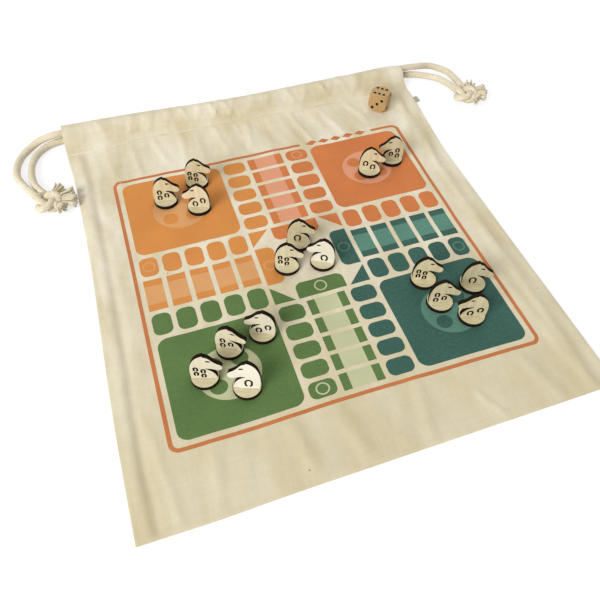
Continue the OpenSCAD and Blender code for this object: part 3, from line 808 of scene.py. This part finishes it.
# %% [markdown]
# ## Stitches
# One row of lockstitch holds each hem. A stitch is a short soft capsule of thread that dips into
# the cloth at both ends. One is made, an array repeats it along the mouth, and the row is laid on
# the cloth like everything else.

# %% Stitch rows
STITCH_PITCH, STITCH_LEN, STITCH_IN, THREAD_D = 3.0, 2.3, 1.1, 0.6


def stitch_row(name, z, on_front):
    """One hem's stitches, at a height in mm; the front row follows the front ply."""
    row = start(bpy.ops.mesh.primitive_uv_sphere_add, name, segments=8, ring_count=6, radius=1)
    for v in row.data.vertices:
        v.co = Vector((v.co.z * STITCH_LEN / 2, v.co.y * THREAD_D / 2,
            v.co.x * THREAD_D / 2)) * MM
    modify(row, "ARRAY", count=int((BAG_W - 4) / STITCH_PITCH), use_relative_offset=False,
        use_constant_offset=True, constant_offset_displace=(STITCH_PITCH * MM, 0, 0))
    for v in row.data.vertices:
        x, y, rise = v.co / MM
        x += 3 - BAG_W / 2
        lift = relief(x, STITCH) if on_front else 0.0
        v.co = Vector((*shift(x, STITCH + STITCH_IN + y), z + lift + rise)) * MM
    row.data.uv_layers[0].name = "threads"
    turn_outward(row)
    bpy.ops.object.shade_smooth()
    row.data.materials.append(rope)
    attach(row, "bag")


stitch_row("front_hem_stitches", 1.95, on_front=True)
stitch_row("back_hem_stitches", THREAD_D / 2, on_front=False)
print("two stitch rows laid")

# %% [markdown]
# ## Side label
# A little folded tape stands out of the right seam. It is left bare. A strip is bent back on
# itself round a small fold and thickened.

# %% Side label
LABEL_FOLD, LABEL_T = 0.3, 0.35
label = start(bpy.ops.mesh.primitive_grid_add, "side_label_tape", x_subdivisions=36,
    y_subdivisions=8, size=1)
low, high = (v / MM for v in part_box("side_label"))
middle, size = (low + high) / 2, high - low
reach = size.x - LABEL_FOLD - 0.2
whole = 2 * reach + math.pi * LABEL_FOLD
for v in label.data.vertices:
    # Out along the lower half, half a turn round the fold, and back along the upper half
    s = whole * (v.co.x + 0.5)
    turn = min(max((s - reach) / LABEL_FOLD, 0.0), math.pi)
    x = min(s, reach, whole - s) + LABEL_FOLD * math.sin(turn)
    z = middle.z + 0.25 - LABEL_FOLD * math.cos(turn) + 0.8 * (x / reach) ** 2
    v.co = Vector((low.x + x, middle.y + v.co.y * size.y, z)) * MM
map_threads(label)
modify(label, "SOLIDIFY", thickness=LABEL_T * MM, offset=0)
dress(label, tape, "side_label", slot="label_tape")
print("label reaches out", round(size.x, 1), "mm")

# %% [markdown]
# ## The printed board
# Each colour of a screen print is a thin skin of ink that follows the cloth. The CAD print nodes
# hold the flat artwork as slabs. Each is copied, everything but its upper face is deleted, and the
# face is cut into small squares by planes, so that it can bend. Then it is laid with the same two
# functions as the cloth, a tenth of a millimetre above it. The threads map is taken first, so the
# weave runs on under the ink without a break.

# %% Ink materials
def ink_material(name, colour):
    """Water based screen ink: matt, a little thin, with cotton showing at the weave's crowns."""
    material, tree, uv = new_material(name, "threads")
    weave = weave_height(tree, uv)
    thin = maths(tree, "MULTIPLY", clouds(tree, uv, 2.2, 4.0), weave)
    bare = remap(tree, thin, 0.2, 0.5, 0.0, 0.07)
    uneven = remap(tree, clouds(tree, uv, 30, 2.0), 0.3, 0.7, 0.94, 1.06)
    ink = blend(tree, 1.0, linear(colour), uneven, "MULTIPLY")
    surface(tree, blend(tree, bare, ink, cotton_colour(tree, uv, *CANVAS)), weave, bump=0.25,
        depth=0.2, roughness=0.85, specular=0.15)
    return material


INKS = {"border": "#C47747", "orange": "#D58C47", "red": "#CF7B45", "teal": "#375E54",
    "green": "#5A7742", "orange_tint": "#DBA069", "red_tint": "#DF9B79",
    "teal_tint": "#598777", "green_tint": "#C2C49C"}
inks = {name: ink_material("screen_ink_" + name, colour) for name, colour in INKS.items()}
print(len(inks), "inks")

# %% Flat artwork
INK_LIFT, INK_T, INK_CELL, INK_CREEP = 0.11, 0.13, 4.0, 0.3


def upper_face(node):
    """A copy of a flat CAD node's upper face, as a mesh of its own."""
    bm = bmesh.new()
    bm.from_mesh(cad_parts[node].data)
    bmesh.ops.remove_doubles(bm, verts=bm.verts, dist=0.002 * MM)
    bmesh.ops.recalc_face_normals(bm, faces=bm.faces)
    bmesh.ops.delete(bm, geom=[f for f in bm.faces if f.normal.z < 0.9], context="FACES")
    bmesh.ops.dissolve_limit(bm, angle_limit=0.01, verts=bm.verts, edges=bm.edges)
    return bm


def spread(bm, by):
    """Pushes the rims of a flat mesh outward in its plane, as ink creeps out from a screen."""
    bm.normal_update()
    moves = {}
    for loop in (e.link_loops[0] for e in bm.edges if e.is_boundary):
        a, b = loop.vert, loop.link_loop_next.vert
        out = (b.co - a.co).cross(loop.face.normal).normalized()
        for v in (a, b):
            moves.setdefault(v, []).append(out)
    for v, (m, n) in moves.items():
        v.co += (m + n) * by / (1 + m.dot(n))


def cut_in_squares(bm, low, high):
    """Cuts a flat mesh across its box, so that it can bend at each line."""
    for axis in (0, 1):
        normal = Vector((1 - axis, axis, 0))
        cut = math.ceil(low[axis] / MM / INK_CELL) * INK_CELL
        while cut * MM < high[axis]:
            bmesh.ops.bisect_plane(bm, geom=bm.verts[:] + bm.edges[:] + bm.faces[:],
                dist=1e-6, plane_co=normal * cut * MM, plane_no=normal)
            cut += INK_CELL


print("squares of", INK_CELL, "mm")

# %% Print the board
for name in INKS:
    node = "print_" + name
    bm = upper_face(node)
    if name == "border":
        spread(bm, INK_CREEP * MM)
    cut_in_squares(bm, *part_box(node))
    skin = finish_mesh(bm, node + "_ink", inks[name])
    if sum(p.normal.z for p in skin.data.polygons) < 0:
        skin.data.flip_normals()
    skin.data.uv_layers.new(name="threads")
    map_threads(skin)
    lay(skin, lambda x, y, z: (*shift(x, y), FRONT_TOP + INK_LIFT + relief(x, y)))
    modify(skin, "SOLIDIFY", thickness=INK_T * MM, offset=-1)
    for face in skin.data.polygons:
        face.use_smooth = abs(face.normal.z) > 0.5
    mount(skin, "bag", "ink_" + ("terracotta" if name == "border" else name), node)
    print(node, len(skin.data.polygons), "faces")

# %% [markdown]
# ## Wood
# The horses and their bases are laser cut from 3 mm birch plywood. The beam leaves a dark brown
# scorched edge, and the same beam engraves the eye and the horseshoes. Sanded birch is pale, with
# a fine straight grain. The die is beech, a little darker and redder, with short flecks.

# %% Wood materials
def wood_material(name, dark, light, grain, fleck, shine=0.4, sheen_colour=None):
    """Grain runs along the first direction of the piece's own map, in streaks sized in mm.

    With a sheen colour, the piece's tone paints light: 1 for a pale painted sheen, -1 for painted
    shade."""
    material, tree, uv = new_material(name, "grain")
    streak = clouds(tree, uv, grain, 4.0, (0.06, 1.0), Distortion=0.3)
    pore = clouds(tree, uv, 0.45, 2.0, (0.22, 1.0))
    colour = blend(tree, remap(tree, streak, 0.35, 0.65), linear(dark), linear(light))
    shade = remap(tree, pore, 0.55, 0.75, 1.0, 1.0 - fleck)
    if sheen_colour:
        # Painted light: the tone blends the birch towards the pale sheen colour, and below 0
        # darkens it as painted shade
        tone = add(tree, "Attribute", attribute_name="tone").outputs["Fac"]
        colour = blend(tree, tone, colour, linear(sheen_colour))
        shade = maths(tree, "MULTIPLY", shade, remap(tree, tone, -1.0, 0.0, 0.55, 1.0))
    surface(tree, blend(tree, 1.0, colour, shade, "MULTIPLY"), pore, bump=0.25, depth=0.08,
        roughness=1.0 - shine, specular=shine)
    return material


# Birch's last colour is a painted sheen, which each horse's tone paints on
birch = wood_material("birch_plywood_sanded", "#D6C99F", "#E5DBB9", 2.4, 0.06,
    sheen_colour="#F1ECDD")
beech = wood_material("beech_turned_smooth", "#B18E5C", "#BE9B69", 1.8, 0.12)
scorched = wood_material("birch_laser_scorched", "#150C07", "#2A1B11", 0.8, 0.3, 0.1)
pip_paint = wood_material("pip_paint_dark_brown", "#1E120B", "#2A1B12", 2.0, 0.1, 0.1)
print("woods:", birch.name, beech.name, scorched.name)

# %% Helpers for wood
def map_grain(obj, offset=(0, 0)):
    """Grain map in metres, laid flat on each face from the side that the face looks to."""
    grain = obj.data.uv_layers.get("grain") or obj.data.uv_layers.new(name="grain")
    for face in obj.data.polygons:
        n = [abs(c) for c in face.normal]
        axes = {0: (2, 1), 1: (2, 0), 2: (0, 1)}[n.index(max(n))]
        for i in face.loop_indices:
            co = obj.data.vertices[obj.data.loops[i].vertex_index].co
            grain.data[i].uv = (co[axes[0]] + offset[0], co[axes[1]] + offset[1])


def edit(obj, mode, choose):
    """Opens a mesh in edit mode with the chosen vertices, edges or faces selected."""
    take(obj)
    bpy.ops.object.mode_set(mode="EDIT")
    bpy.ops.mesh.select_mode(type=mode)
    bpy.ops.mesh.select_all(action="DESELECT")
    bpy.ops.object.mode_set(mode="OBJECT")
    items = {"VERT": obj.data.vertices, "EDGE": obj.data.edges, "FACE": obj.data.polygons}[mode]
    for item in items:
        item.select = bool(choose(item))
    bpy.ops.object.mode_set(mode="EDIT")


def cut_away(obj, cutter, operation="DIFFERENCE"):
    """Boolean with a second mesh, whose material colours the faces that it leaves."""
    modify(obj, "BOOLEAN", object=cutter, operation=operation, solver="EXACT",
        material_mode="TRANSFER")
    bpy.data.meshes.remove(cutter.data)


print("grain, edit and cut helpers ready")

# %% [markdown]
# ## Horses
# The outline is one closed Bezier curve: back, ear, forehead, muzzle, jaw, throat and chest, with
# a tab under the foot. The curve is filled and extruded to 3 mm, and its rim is bevelled, so that
# the scorched edge shows as a thin dark line round the pale face.

# %% Horse template
FOOT_W, HORSE_H, HORSE_T, TAB_W, BASE_T, BURN = 15.8, 21.0, 3.0, 9.5, 3.0, 0.25
# Corner points with the handle before and after each, in shares of half the foot's width and of
# the horse's height
HORSE = [((-1, 0), (-1, 0), (-1.2, 0.45)), ((-0.2, 0.97), (-0.93, 0.86), (-0.1, 0.985)),
    ((0.04, 1), (-0.02, 1), (0.04, 0.98)), ((0.12, 0.955), (0.06, 0.955), (0.55, 0.935)),
    ((1.21, 0.63), (0.6, 0.74), (1.54, 0.585)), ((1.11, 0.385), (1.52, 0.375), (0.86, 0.395)),
    ((0.15, 0.455), (0.66, 0.465), (0.11, 0.45)), ((0.16, 0.43), (0.12, 0.435), (0.53, 0.385)),
    ((1, 0), (1, 0.225), (1, 0))]
TAB = [(TAB_W / 2, 0), (TAB_W / 2, -BASE_T), (-TAB_W / 2, -BASE_T), (-TAB_W / 2, 0)]


def horse_plate():
    """The bare plate, standing in the XZ plane, with its front face at y = -1.5 mm."""
    deselect()
    bpy.ops.curve.primitive_bezier_curve_add()
    outline = bpy.context.object
    outline.data.dimensions = "2D"
    outline.data.fill_mode = "BOTH"
    outline.data.resolution_u = 10
    outline.data.extrude = HORSE_T / 2 * MM
    spline = outline.data.splines[0]
    spline.bezier_points.add(len(HORSE) + len(TAB) - len(spline.bezier_points))
    spline.use_cyclic_u = True
    marks = [[Vector((x * FOOT_W / 2, z * HORSE_H, 0)) * MM for x, z in row] for row in HORSE]
    marks += [[Vector((*p, 0)) * MM] * 3 for p in TAB]
    for point, (at, before, after) in zip(spline.bezier_points, marks):
        point.handle_left_type = point.handle_right_type = "FREE"
        point.co, point.handle_left, point.handle_right = at, before, after
    bpy.ops.object.convert(target="MESH")
    plate = bpy.context.object
    bpy.ops.object.mode_set(mode="EDIT")
    bpy.ops.mesh.select_all(action="SELECT")
    bpy.ops.mesh.remove_doubles(threshold=0.02 * MM)
    bpy.ops.mesh.dissolve_limited(angle_limit=math.radians(1))
    bpy.ops.object.mode_set(mode="OBJECT")
    turn_outward(plate)
    edit(plate, "FACE", lambda f: abs(f.normal.z) > 0.9)
    bpy.ops.mesh.region_to_loop()
    bpy.ops.mesh.bevel(offset=0.42 * MM, segments=2, clamp_overlap=True)
    bpy.ops.mesh.select_all(action="SELECT")
    bpy.ops.transform.rotate(value=math.radians(-90), orient_axis="X",
        center_override=(0, 0, 0))
    bpy.ops.object.mode_set(mode="OBJECT")
    return plate


plate = horse_plate()
print("plate spans", [round(v / MM, 2) for v in plate.dimensions], "faces",
    len(plate.data.polygons))

# %% [markdown]
# ## Engraving
# The same beam burns an eye and one to four horseshoes into the plate's face, a quarter of a
# millimetre deep. Each mark is a small cutter that a boolean sinks into the face, and its
# material colours the cut. A horseshoe starts as a circle, which is drawn out, opened at its foot
# and thickened. The eye is a flattened ball.

# %% Horseshoe cutter
SHOE_W, SHOE_LINE, SHOE_RISE, SHOE_MOUTH = 5.2, 1.25, 0.24, 0.36


def shoe_cutter(width):
    """A horseshoe, open downwards: a long round outline without a piece at its foot, given its
    height and then the width of its line."""
    rise, mouth = SHOE_RISE * width, SHOE_MOUTH * width
    shoe = start(bpy.ops.mesh.primitive_circle_add, "shoe", vertices=32, radius=width / 2 * MM)
    for v in shoe.data.vertices:
        v.co.y += math.copysign(rise / 2 * MM, v.co.y)
    edit(shoe, "VERT", lambda v: abs(v.co.x) < mouth / 2 * MM and v.co.y < 0)
    bpy.ops.mesh.delete(type="VERT")
    bpy.ops.mesh.select_all(action="SELECT")
    bpy.ops.mesh.extrude_region_move(TRANSFORM_OT_translate={"value": (0, 0, 2 * BURN * MM)})
    bpy.ops.object.mode_set(mode="OBJECT")
    turn_outward(shoe)
    if sum(f.normal.x * f.center.x + f.normal.y * f.center.y for f in shoe.data.polygons) < 0:
        shoe.data.flip_normals()
    modify(shoe, "SOLIDIFY", thickness=SHOE_LINE * MM, offset=-1, use_even_offset=True)
    shoe.data.materials.append(scorched)
    return shoe


def place(obj, matrix):
    """Bakes a placement into the mesh, so that the object stays at the origin."""
    obj.data.transform(matrix)
    obj.matrix_world = Matrix.Identity(4)
    if matrix.determinant() < 0:
        obj.data.flip_normals()


print("a horseshoe is", SHOE_W, "mm wide on a horse that has one")

# %% Four horses
# Middles of the horseshoes, in the outline's shares, and their size by their number
SHOES = {1: [(-0.15, 0.2)], 2: [(-0.48, 0.31), (0.27, 0.155)],
    3: [(-0.44, 0.39), (-0.47, 0.145), (0.19, 0.24)],
    4: [(-0.6, 0.41), (-0.58, 0.2), (-0.03, 0.33), (-0.02, 0.12)]}
SHOE_SIZES = {1: 1.0, 2: 0.84, 3: 0.73, 4: 0.66}
EYE_AT, EYE_SIZE = Vector((3.16, -HORSE_T / 2 - 0.05, 16.2)), (1.6, 0.4, 0.65)
STAND_UP = Matrix.Rotation(math.radians(90), 4, "X")
FRONT_FACE = Matrix.Translation((0, -(HORSE_T / 2 - BURN) * MM, 0))


def copy_of(template, name):
    """A copy of a template, with a mesh of its own."""
    made = template.copy()
    made.data = template.data.copy()
    made.name = made.data.name = name
    bpy.context.scene.collection.objects.link(made)
    return made


templates = {}
for marks, shoes in SHOES.items():
    horse = copy_of(plate, "horse_" + str(marks))
    horse.data.materials.append(birch)
    horse.data.materials.append(scorched)
    for face in horse.data.polygons:
        flat = abs(face.normal.y) > 0.98 and face.area > 20 * MM * MM
        face.material_index = 0 if flat else 1
    for x, z in shoes:
        cutter = shoe_cutter(SHOE_SIZES[marks] * SHOE_W)
        at = Vector((x * FOOT_W / 2, 0, z * HORSE_H)) * MM
        place(cutter, FRONT_FACE @ Matrix.Translation(at) @ STAND_UP)
        cut_away(horse, cutter)
    eye = start(bpy.ops.mesh.primitive_uv_sphere_add, "eye", segments=16, ring_count=8, radius=1)
    place(eye, Matrix.Translation(EYE_AT * MM) @ Matrix.Rotation(math.radians(8), 4, "Y")
        @ Matrix.Diagonal((*(v * MM for v in EYE_SIZE), 1)))
    eye.data.materials.append(scorched)
    cut_away(horse, eye)
    templates[marks] = horse
    print("horse with", marks, "horseshoes:", len(horse.data.polygons), "faces")

# %% [markdown]
# ## Bases
# A base is a disc, and a box cuts the slot for the horse's tab right through it. Its rims are
# bevelled and scorched like the horse's.

# %% Base template
BASE_D, TAB_GAP, HORSE_OFF = 17.8, 0.2, 0.6
base = start(bpy.ops.mesh.primitive_cylinder_add, "base", vertices=72, radius=BASE_D / 2 * MM,
    depth=BASE_T * MM)
place(base, Matrix.Translation((0, 0, BASE_T / 2 * MM)))
edit(base, "FACE", lambda f: abs(f.normal.z) > 0.9)
bpy.ops.mesh.region_to_loop()
bpy.ops.mesh.bevel(offset=0.3 * MM, segments=2)
bpy.ops.object.mode_set(mode="OBJECT")
base.data.materials.append(birch)
base.data.materials.append(scorched)
for face in base.data.polygons:
    face.material_index = 0 if abs(face.normal.z) > 0.98 else 1
slot = start(bpy.ops.mesh.primitive_cube_add, "slot", size=1)
place(slot, Matrix.Translation((0, -HORSE_OFF * MM, BASE_T / 2 * MM)) @ Matrix.Diagonal(
    ((TAB_W + 2 * TAB_GAP) * MM, (HORSE_T + 2 * TAB_GAP) * MM, 2 * BASE_T * MM, 1)))
slot.data.materials.append(scorched)
cut_away(base, slot)
print("base has", len(base.data.polygons), "faces")

# %% [markdown]
# ## The pieces in their places
# Every piece is a horse and a base, copied from the templates with meshes of their own. Its middle
# comes from its CAD base, and a table repeats each one's turn and which way its horse looks. The
# grain map is moved along for each piece, so no two look alike, and some horses are painted paler
# or browner: a painted sheen on the faces that catch the light, and painted shade on those that
# get less of it.

# %% Wood tone: painted light and shade
# Painted light: horses whose faces catch a sheen from the window are paler, and those that get less
# light are browner; the bases are a little browner
LIGHT_TONES = {"green_1": 0.9, "green_2": 0.6, "green_3": 0.35, "green_4": 0.45, "red_1": 0.8,
    "red_3": -0.3, "red_4": 0.15, "orange_1": -0.35, "orange_2": 0.2, "teal_1": -0.5,
    "teal_2": -0.3, "teal_3": -0.3}
BASE_TONE = -0.2


def paint_light_tone(obj, value):
    """The piece's tone, which its birch reads: painted light and shade on the horses."""
    tone = obj.data.attributes.new("tone", "FLOAT", "POINT")
    tone.data.foreach_set("value", [value] * len(tone.data))


print(len(LIGHT_TONES), "horses have a tone of their own")

# %% Set out the sixteen pieces
# Turn in degrees, and 1 for a head that looks right or -1 for left, from one horseshoe to four
TURNS = {
    "orange": [(-18, 1), (-20, -1), (-12, 1), (-12, 1)],
    "red": [(-29, -1), (-19, 1), (-14, -1), (-17, 1)],
    "teal": [(-22, 1), (-19, -1), (-18, 1), (-19, 1)],
    "green": [(-22, -1), (-24, -1), (-29, 1), (-18, 1)]}
# Tabs fit loosely: two horses lean back by some degrees
LEANS = {"green_1": 11, "green_4": 5}
for colour, row in TURNS.items():
    for number, (turn, look) in enumerate(row, 1):
        piece = f"{colour}_{number}"
        low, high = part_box(piece + "_base")
        spot = Matrix.Translation(((low.x + high.x) / 2, (low.y + high.y) / 2, low.z)) \
            @ Matrix.Rotation(math.radians(turn), 4, "Z")
        stand = Matrix.Translation((0, -HORSE_OFF * MM, BASE_T * MM)) \
            @ Matrix.Rotation(math.radians(-LEANS.get(piece, 0)), 4, "X") \
            @ Matrix.Diagonal((look, 1, 1, 1))
        offset = (draw.uniform(0, 0.2), draw.uniform(0, 0.2))
        for part, template, inner, tone in (
                ("horse", templates[number], stand, LIGHT_TONES.get(piece, 0)),
                ("base", base, Matrix(), BASE_TONE)):
            made = copy_of(template, f"{piece}_{part}_wood")
            map_grain(made, offset)
            paint_light_tone(made, tone)
            place(made, spot @ inner)
            mount(made, piece, "birch", f"{piece}_{part}")
for template in (plate, base, *templates.values()):
    bpy.data.objects.remove(template)
print("set out", 2 * sum(len(row) for row in TURNS.values()), "wooden pieces")

# %% [markdown]
# ## The die
# A wooden die is tumbled until its corners are round, then its pips are drilled with a round
# tipped cutter and painted. Here a cube is cut back by a ball, which rounds the corners and leaves
# the faces flat, and the pips are cut one by one.

# %% Die
DIE, DIE_BALL, PIP_PITCH, PIP_D, PIP_DEEP, DIE_TURN = 16.0, 22.4, 8.0, 2.7, 0.7, -42
# Pips on the top face by number, and the turn that takes them from there to their own face
PIPS = {1: [(0, 0)], 2: [(-1, 1), (1, -1)], 3: [(-1, -1), (0, 0), (1, 1)],
    4: [(-1, -1), (-1, 1), (1, -1), (1, 1)], 5: [(-1, -1), (-1, 1), (1, -1), (1, 1), (0, 0)],
    6: [(-1, -1), (0, -1), (1, -1), (-1, 1), (0, 1), (1, 1)]}
DIE_FACES = {3: (90, "X"), 4: (-90, "X"), 2: (90, "Y"), 5: (-90, "Y"), 6: (0, "X"), 1: (180, "X")}
die = start(bpy.ops.mesh.primitive_cube_add, "die_wood", size=DIE * MM)
die.data.materials.append(beech)
ball = start(bpy.ops.mesh.primitive_uv_sphere_add, "ball", segments=72, ring_count=36,
    radius=DIE_BALL / 2 * MM)
ball.data.materials.append(beech)
cut_away(die, ball, "INTERSECT")
pip_ball = (PIP_D ** 2 / 4 + PIP_DEEP ** 2) / (2 * PIP_DEEP)
for number, (angle, axis) in DIE_FACES.items():
    for u, v in PIPS[number]:
        pip = start(bpy.ops.mesh.primitive_uv_sphere_add, "pip", segments=16, ring_count=10,
            radius=pip_ball * MM)
        place(pip, Matrix.Rotation(math.radians(angle), 4, axis) @ Matrix.Translation(
            Vector((u * PIP_PITCH / 2, v * PIP_PITCH / 2, DIE / 2 - PIP_DEEP + pip_ball)) * MM))
        pip.data.materials.append(pip_paint)
        cut_away(die, pip)
map_grain(die)
take(die)
bpy.ops.object.shade_smooth_by_angle(angle=math.radians(25))
place(die, Matrix.Translation(middle_of("die") * MM)
    @ Matrix.Rotation(math.radians(DIE_TURN), 4, "Z"))
mount(die, "die", "beech", "die")
print("die has", len(die.data.polygons), "faces")

# %% [markdown]
# ## Floor and light
# The photograph is cut out on white, with soft light from the left. The floor and the world are
# plain white where the camera looks straight at them, and the floor still darkens a little under
# the bag, which keeps its shadow. Large lamps give soft shadows.

# %% Floor
PAPER_GLOW = 0.74


def seen_straight(tree):
    """1 for what the camera sees itself, in a shiny face or through glass, and else 0."""
    ray = add(tree, "LightPath").outputs
    direct = maths(tree, "MAXIMUM", ray["Is Camera Ray"], ray["Is Glossy Ray"])
    return maths(tree, "MAXIMUM", direct, ray["Is Transmission Ray"])


floor = start(bpy.ops.mesh.primitive_plane_add, "floor", size=6)
floor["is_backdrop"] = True
paper = bpy.data.materials.new("paper_white_matt")
paper.use_nodes = True
tree = paper.node_tree
shader = tree.nodes["Principled BSDF"]
shader.inputs["Base Color"].default_value = linear("#EFEEEA")
shader.inputs["Roughness"].default_value = 0.9
glow = add(tree, "Emission", {"Color": (1, 1, 1, 1), "Strength": PAPER_GLOW})
half = add(tree, "BsdfDiffuse", {"Color": (0.3, 0.3, 0.3, 1)})
white = add(tree, "AddShader", {0: glow.outputs[0], 1: half.outputs[0]})
chosen = add(tree, "MixShader", {0: seen_straight(tree), 1: shader.outputs[0],
    2: white.outputs[0]})
tree.links.new(chosen.outputs[0], tree.nodes["Material Output"].inputs["Surface"])
floor.data.materials.append(paper)
print("floor laid")

# %% World
ROOM_LIGHT, OPEN_SKY = 0.40, 1.0
world = bpy.data.worlds.new("studio")
bpy.context.scene.world = world
world.use_nodes = True
sky = world.node_tree
room = sky.nodes["Background"]
room.inputs["Color"].default_value = (1, 1, 1, 1)
room.inputs["Strength"].default_value = ROOM_LIGHT
open_sky = add(sky, "Background", {"Color": (1, 1, 1, 1), "Strength": OPEN_SKY})
mixed = add(sky, "MixShader", {0: seen_straight(sky), 1: room.outputs[0],
    2: open_sky.outputs[0]})
sky.links.new(mixed.outputs[0], sky.nodes["World Output"].inputs["Surface"])
print("world lights at", ROOM_LIGHT)

# %% Lamps
def lamp(name, at, size, power):
    """A square lamp, in metres and watts, that looks at the middle of the bag."""
    data = bpy.data.lights.new(name, "AREA")
    data.size, data.energy = size, power
    made = bpy.data.objects.new(name, data)
    bpy.context.scene.collection.objects.link(made)
    made.location = at
    made.rotation_mode = "QUATERNION"
    made.rotation_quaternion = (-Vector(at)).to_track_quat("-Z", "Y")


lamp("window_left", (-2.2, -1.4, 1.75), size=1.6, power=82)
lamp("soft_top", (0.8, 1.2, 1.5), size=1.2, power=10)
bpy.context.scene.view_settings.view_transform = "Standard"
print("lamps set")

# %% [markdown]
# ## Finish
# The box round the dressed model is measured.

# %% Measure the dressed model
low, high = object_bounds()
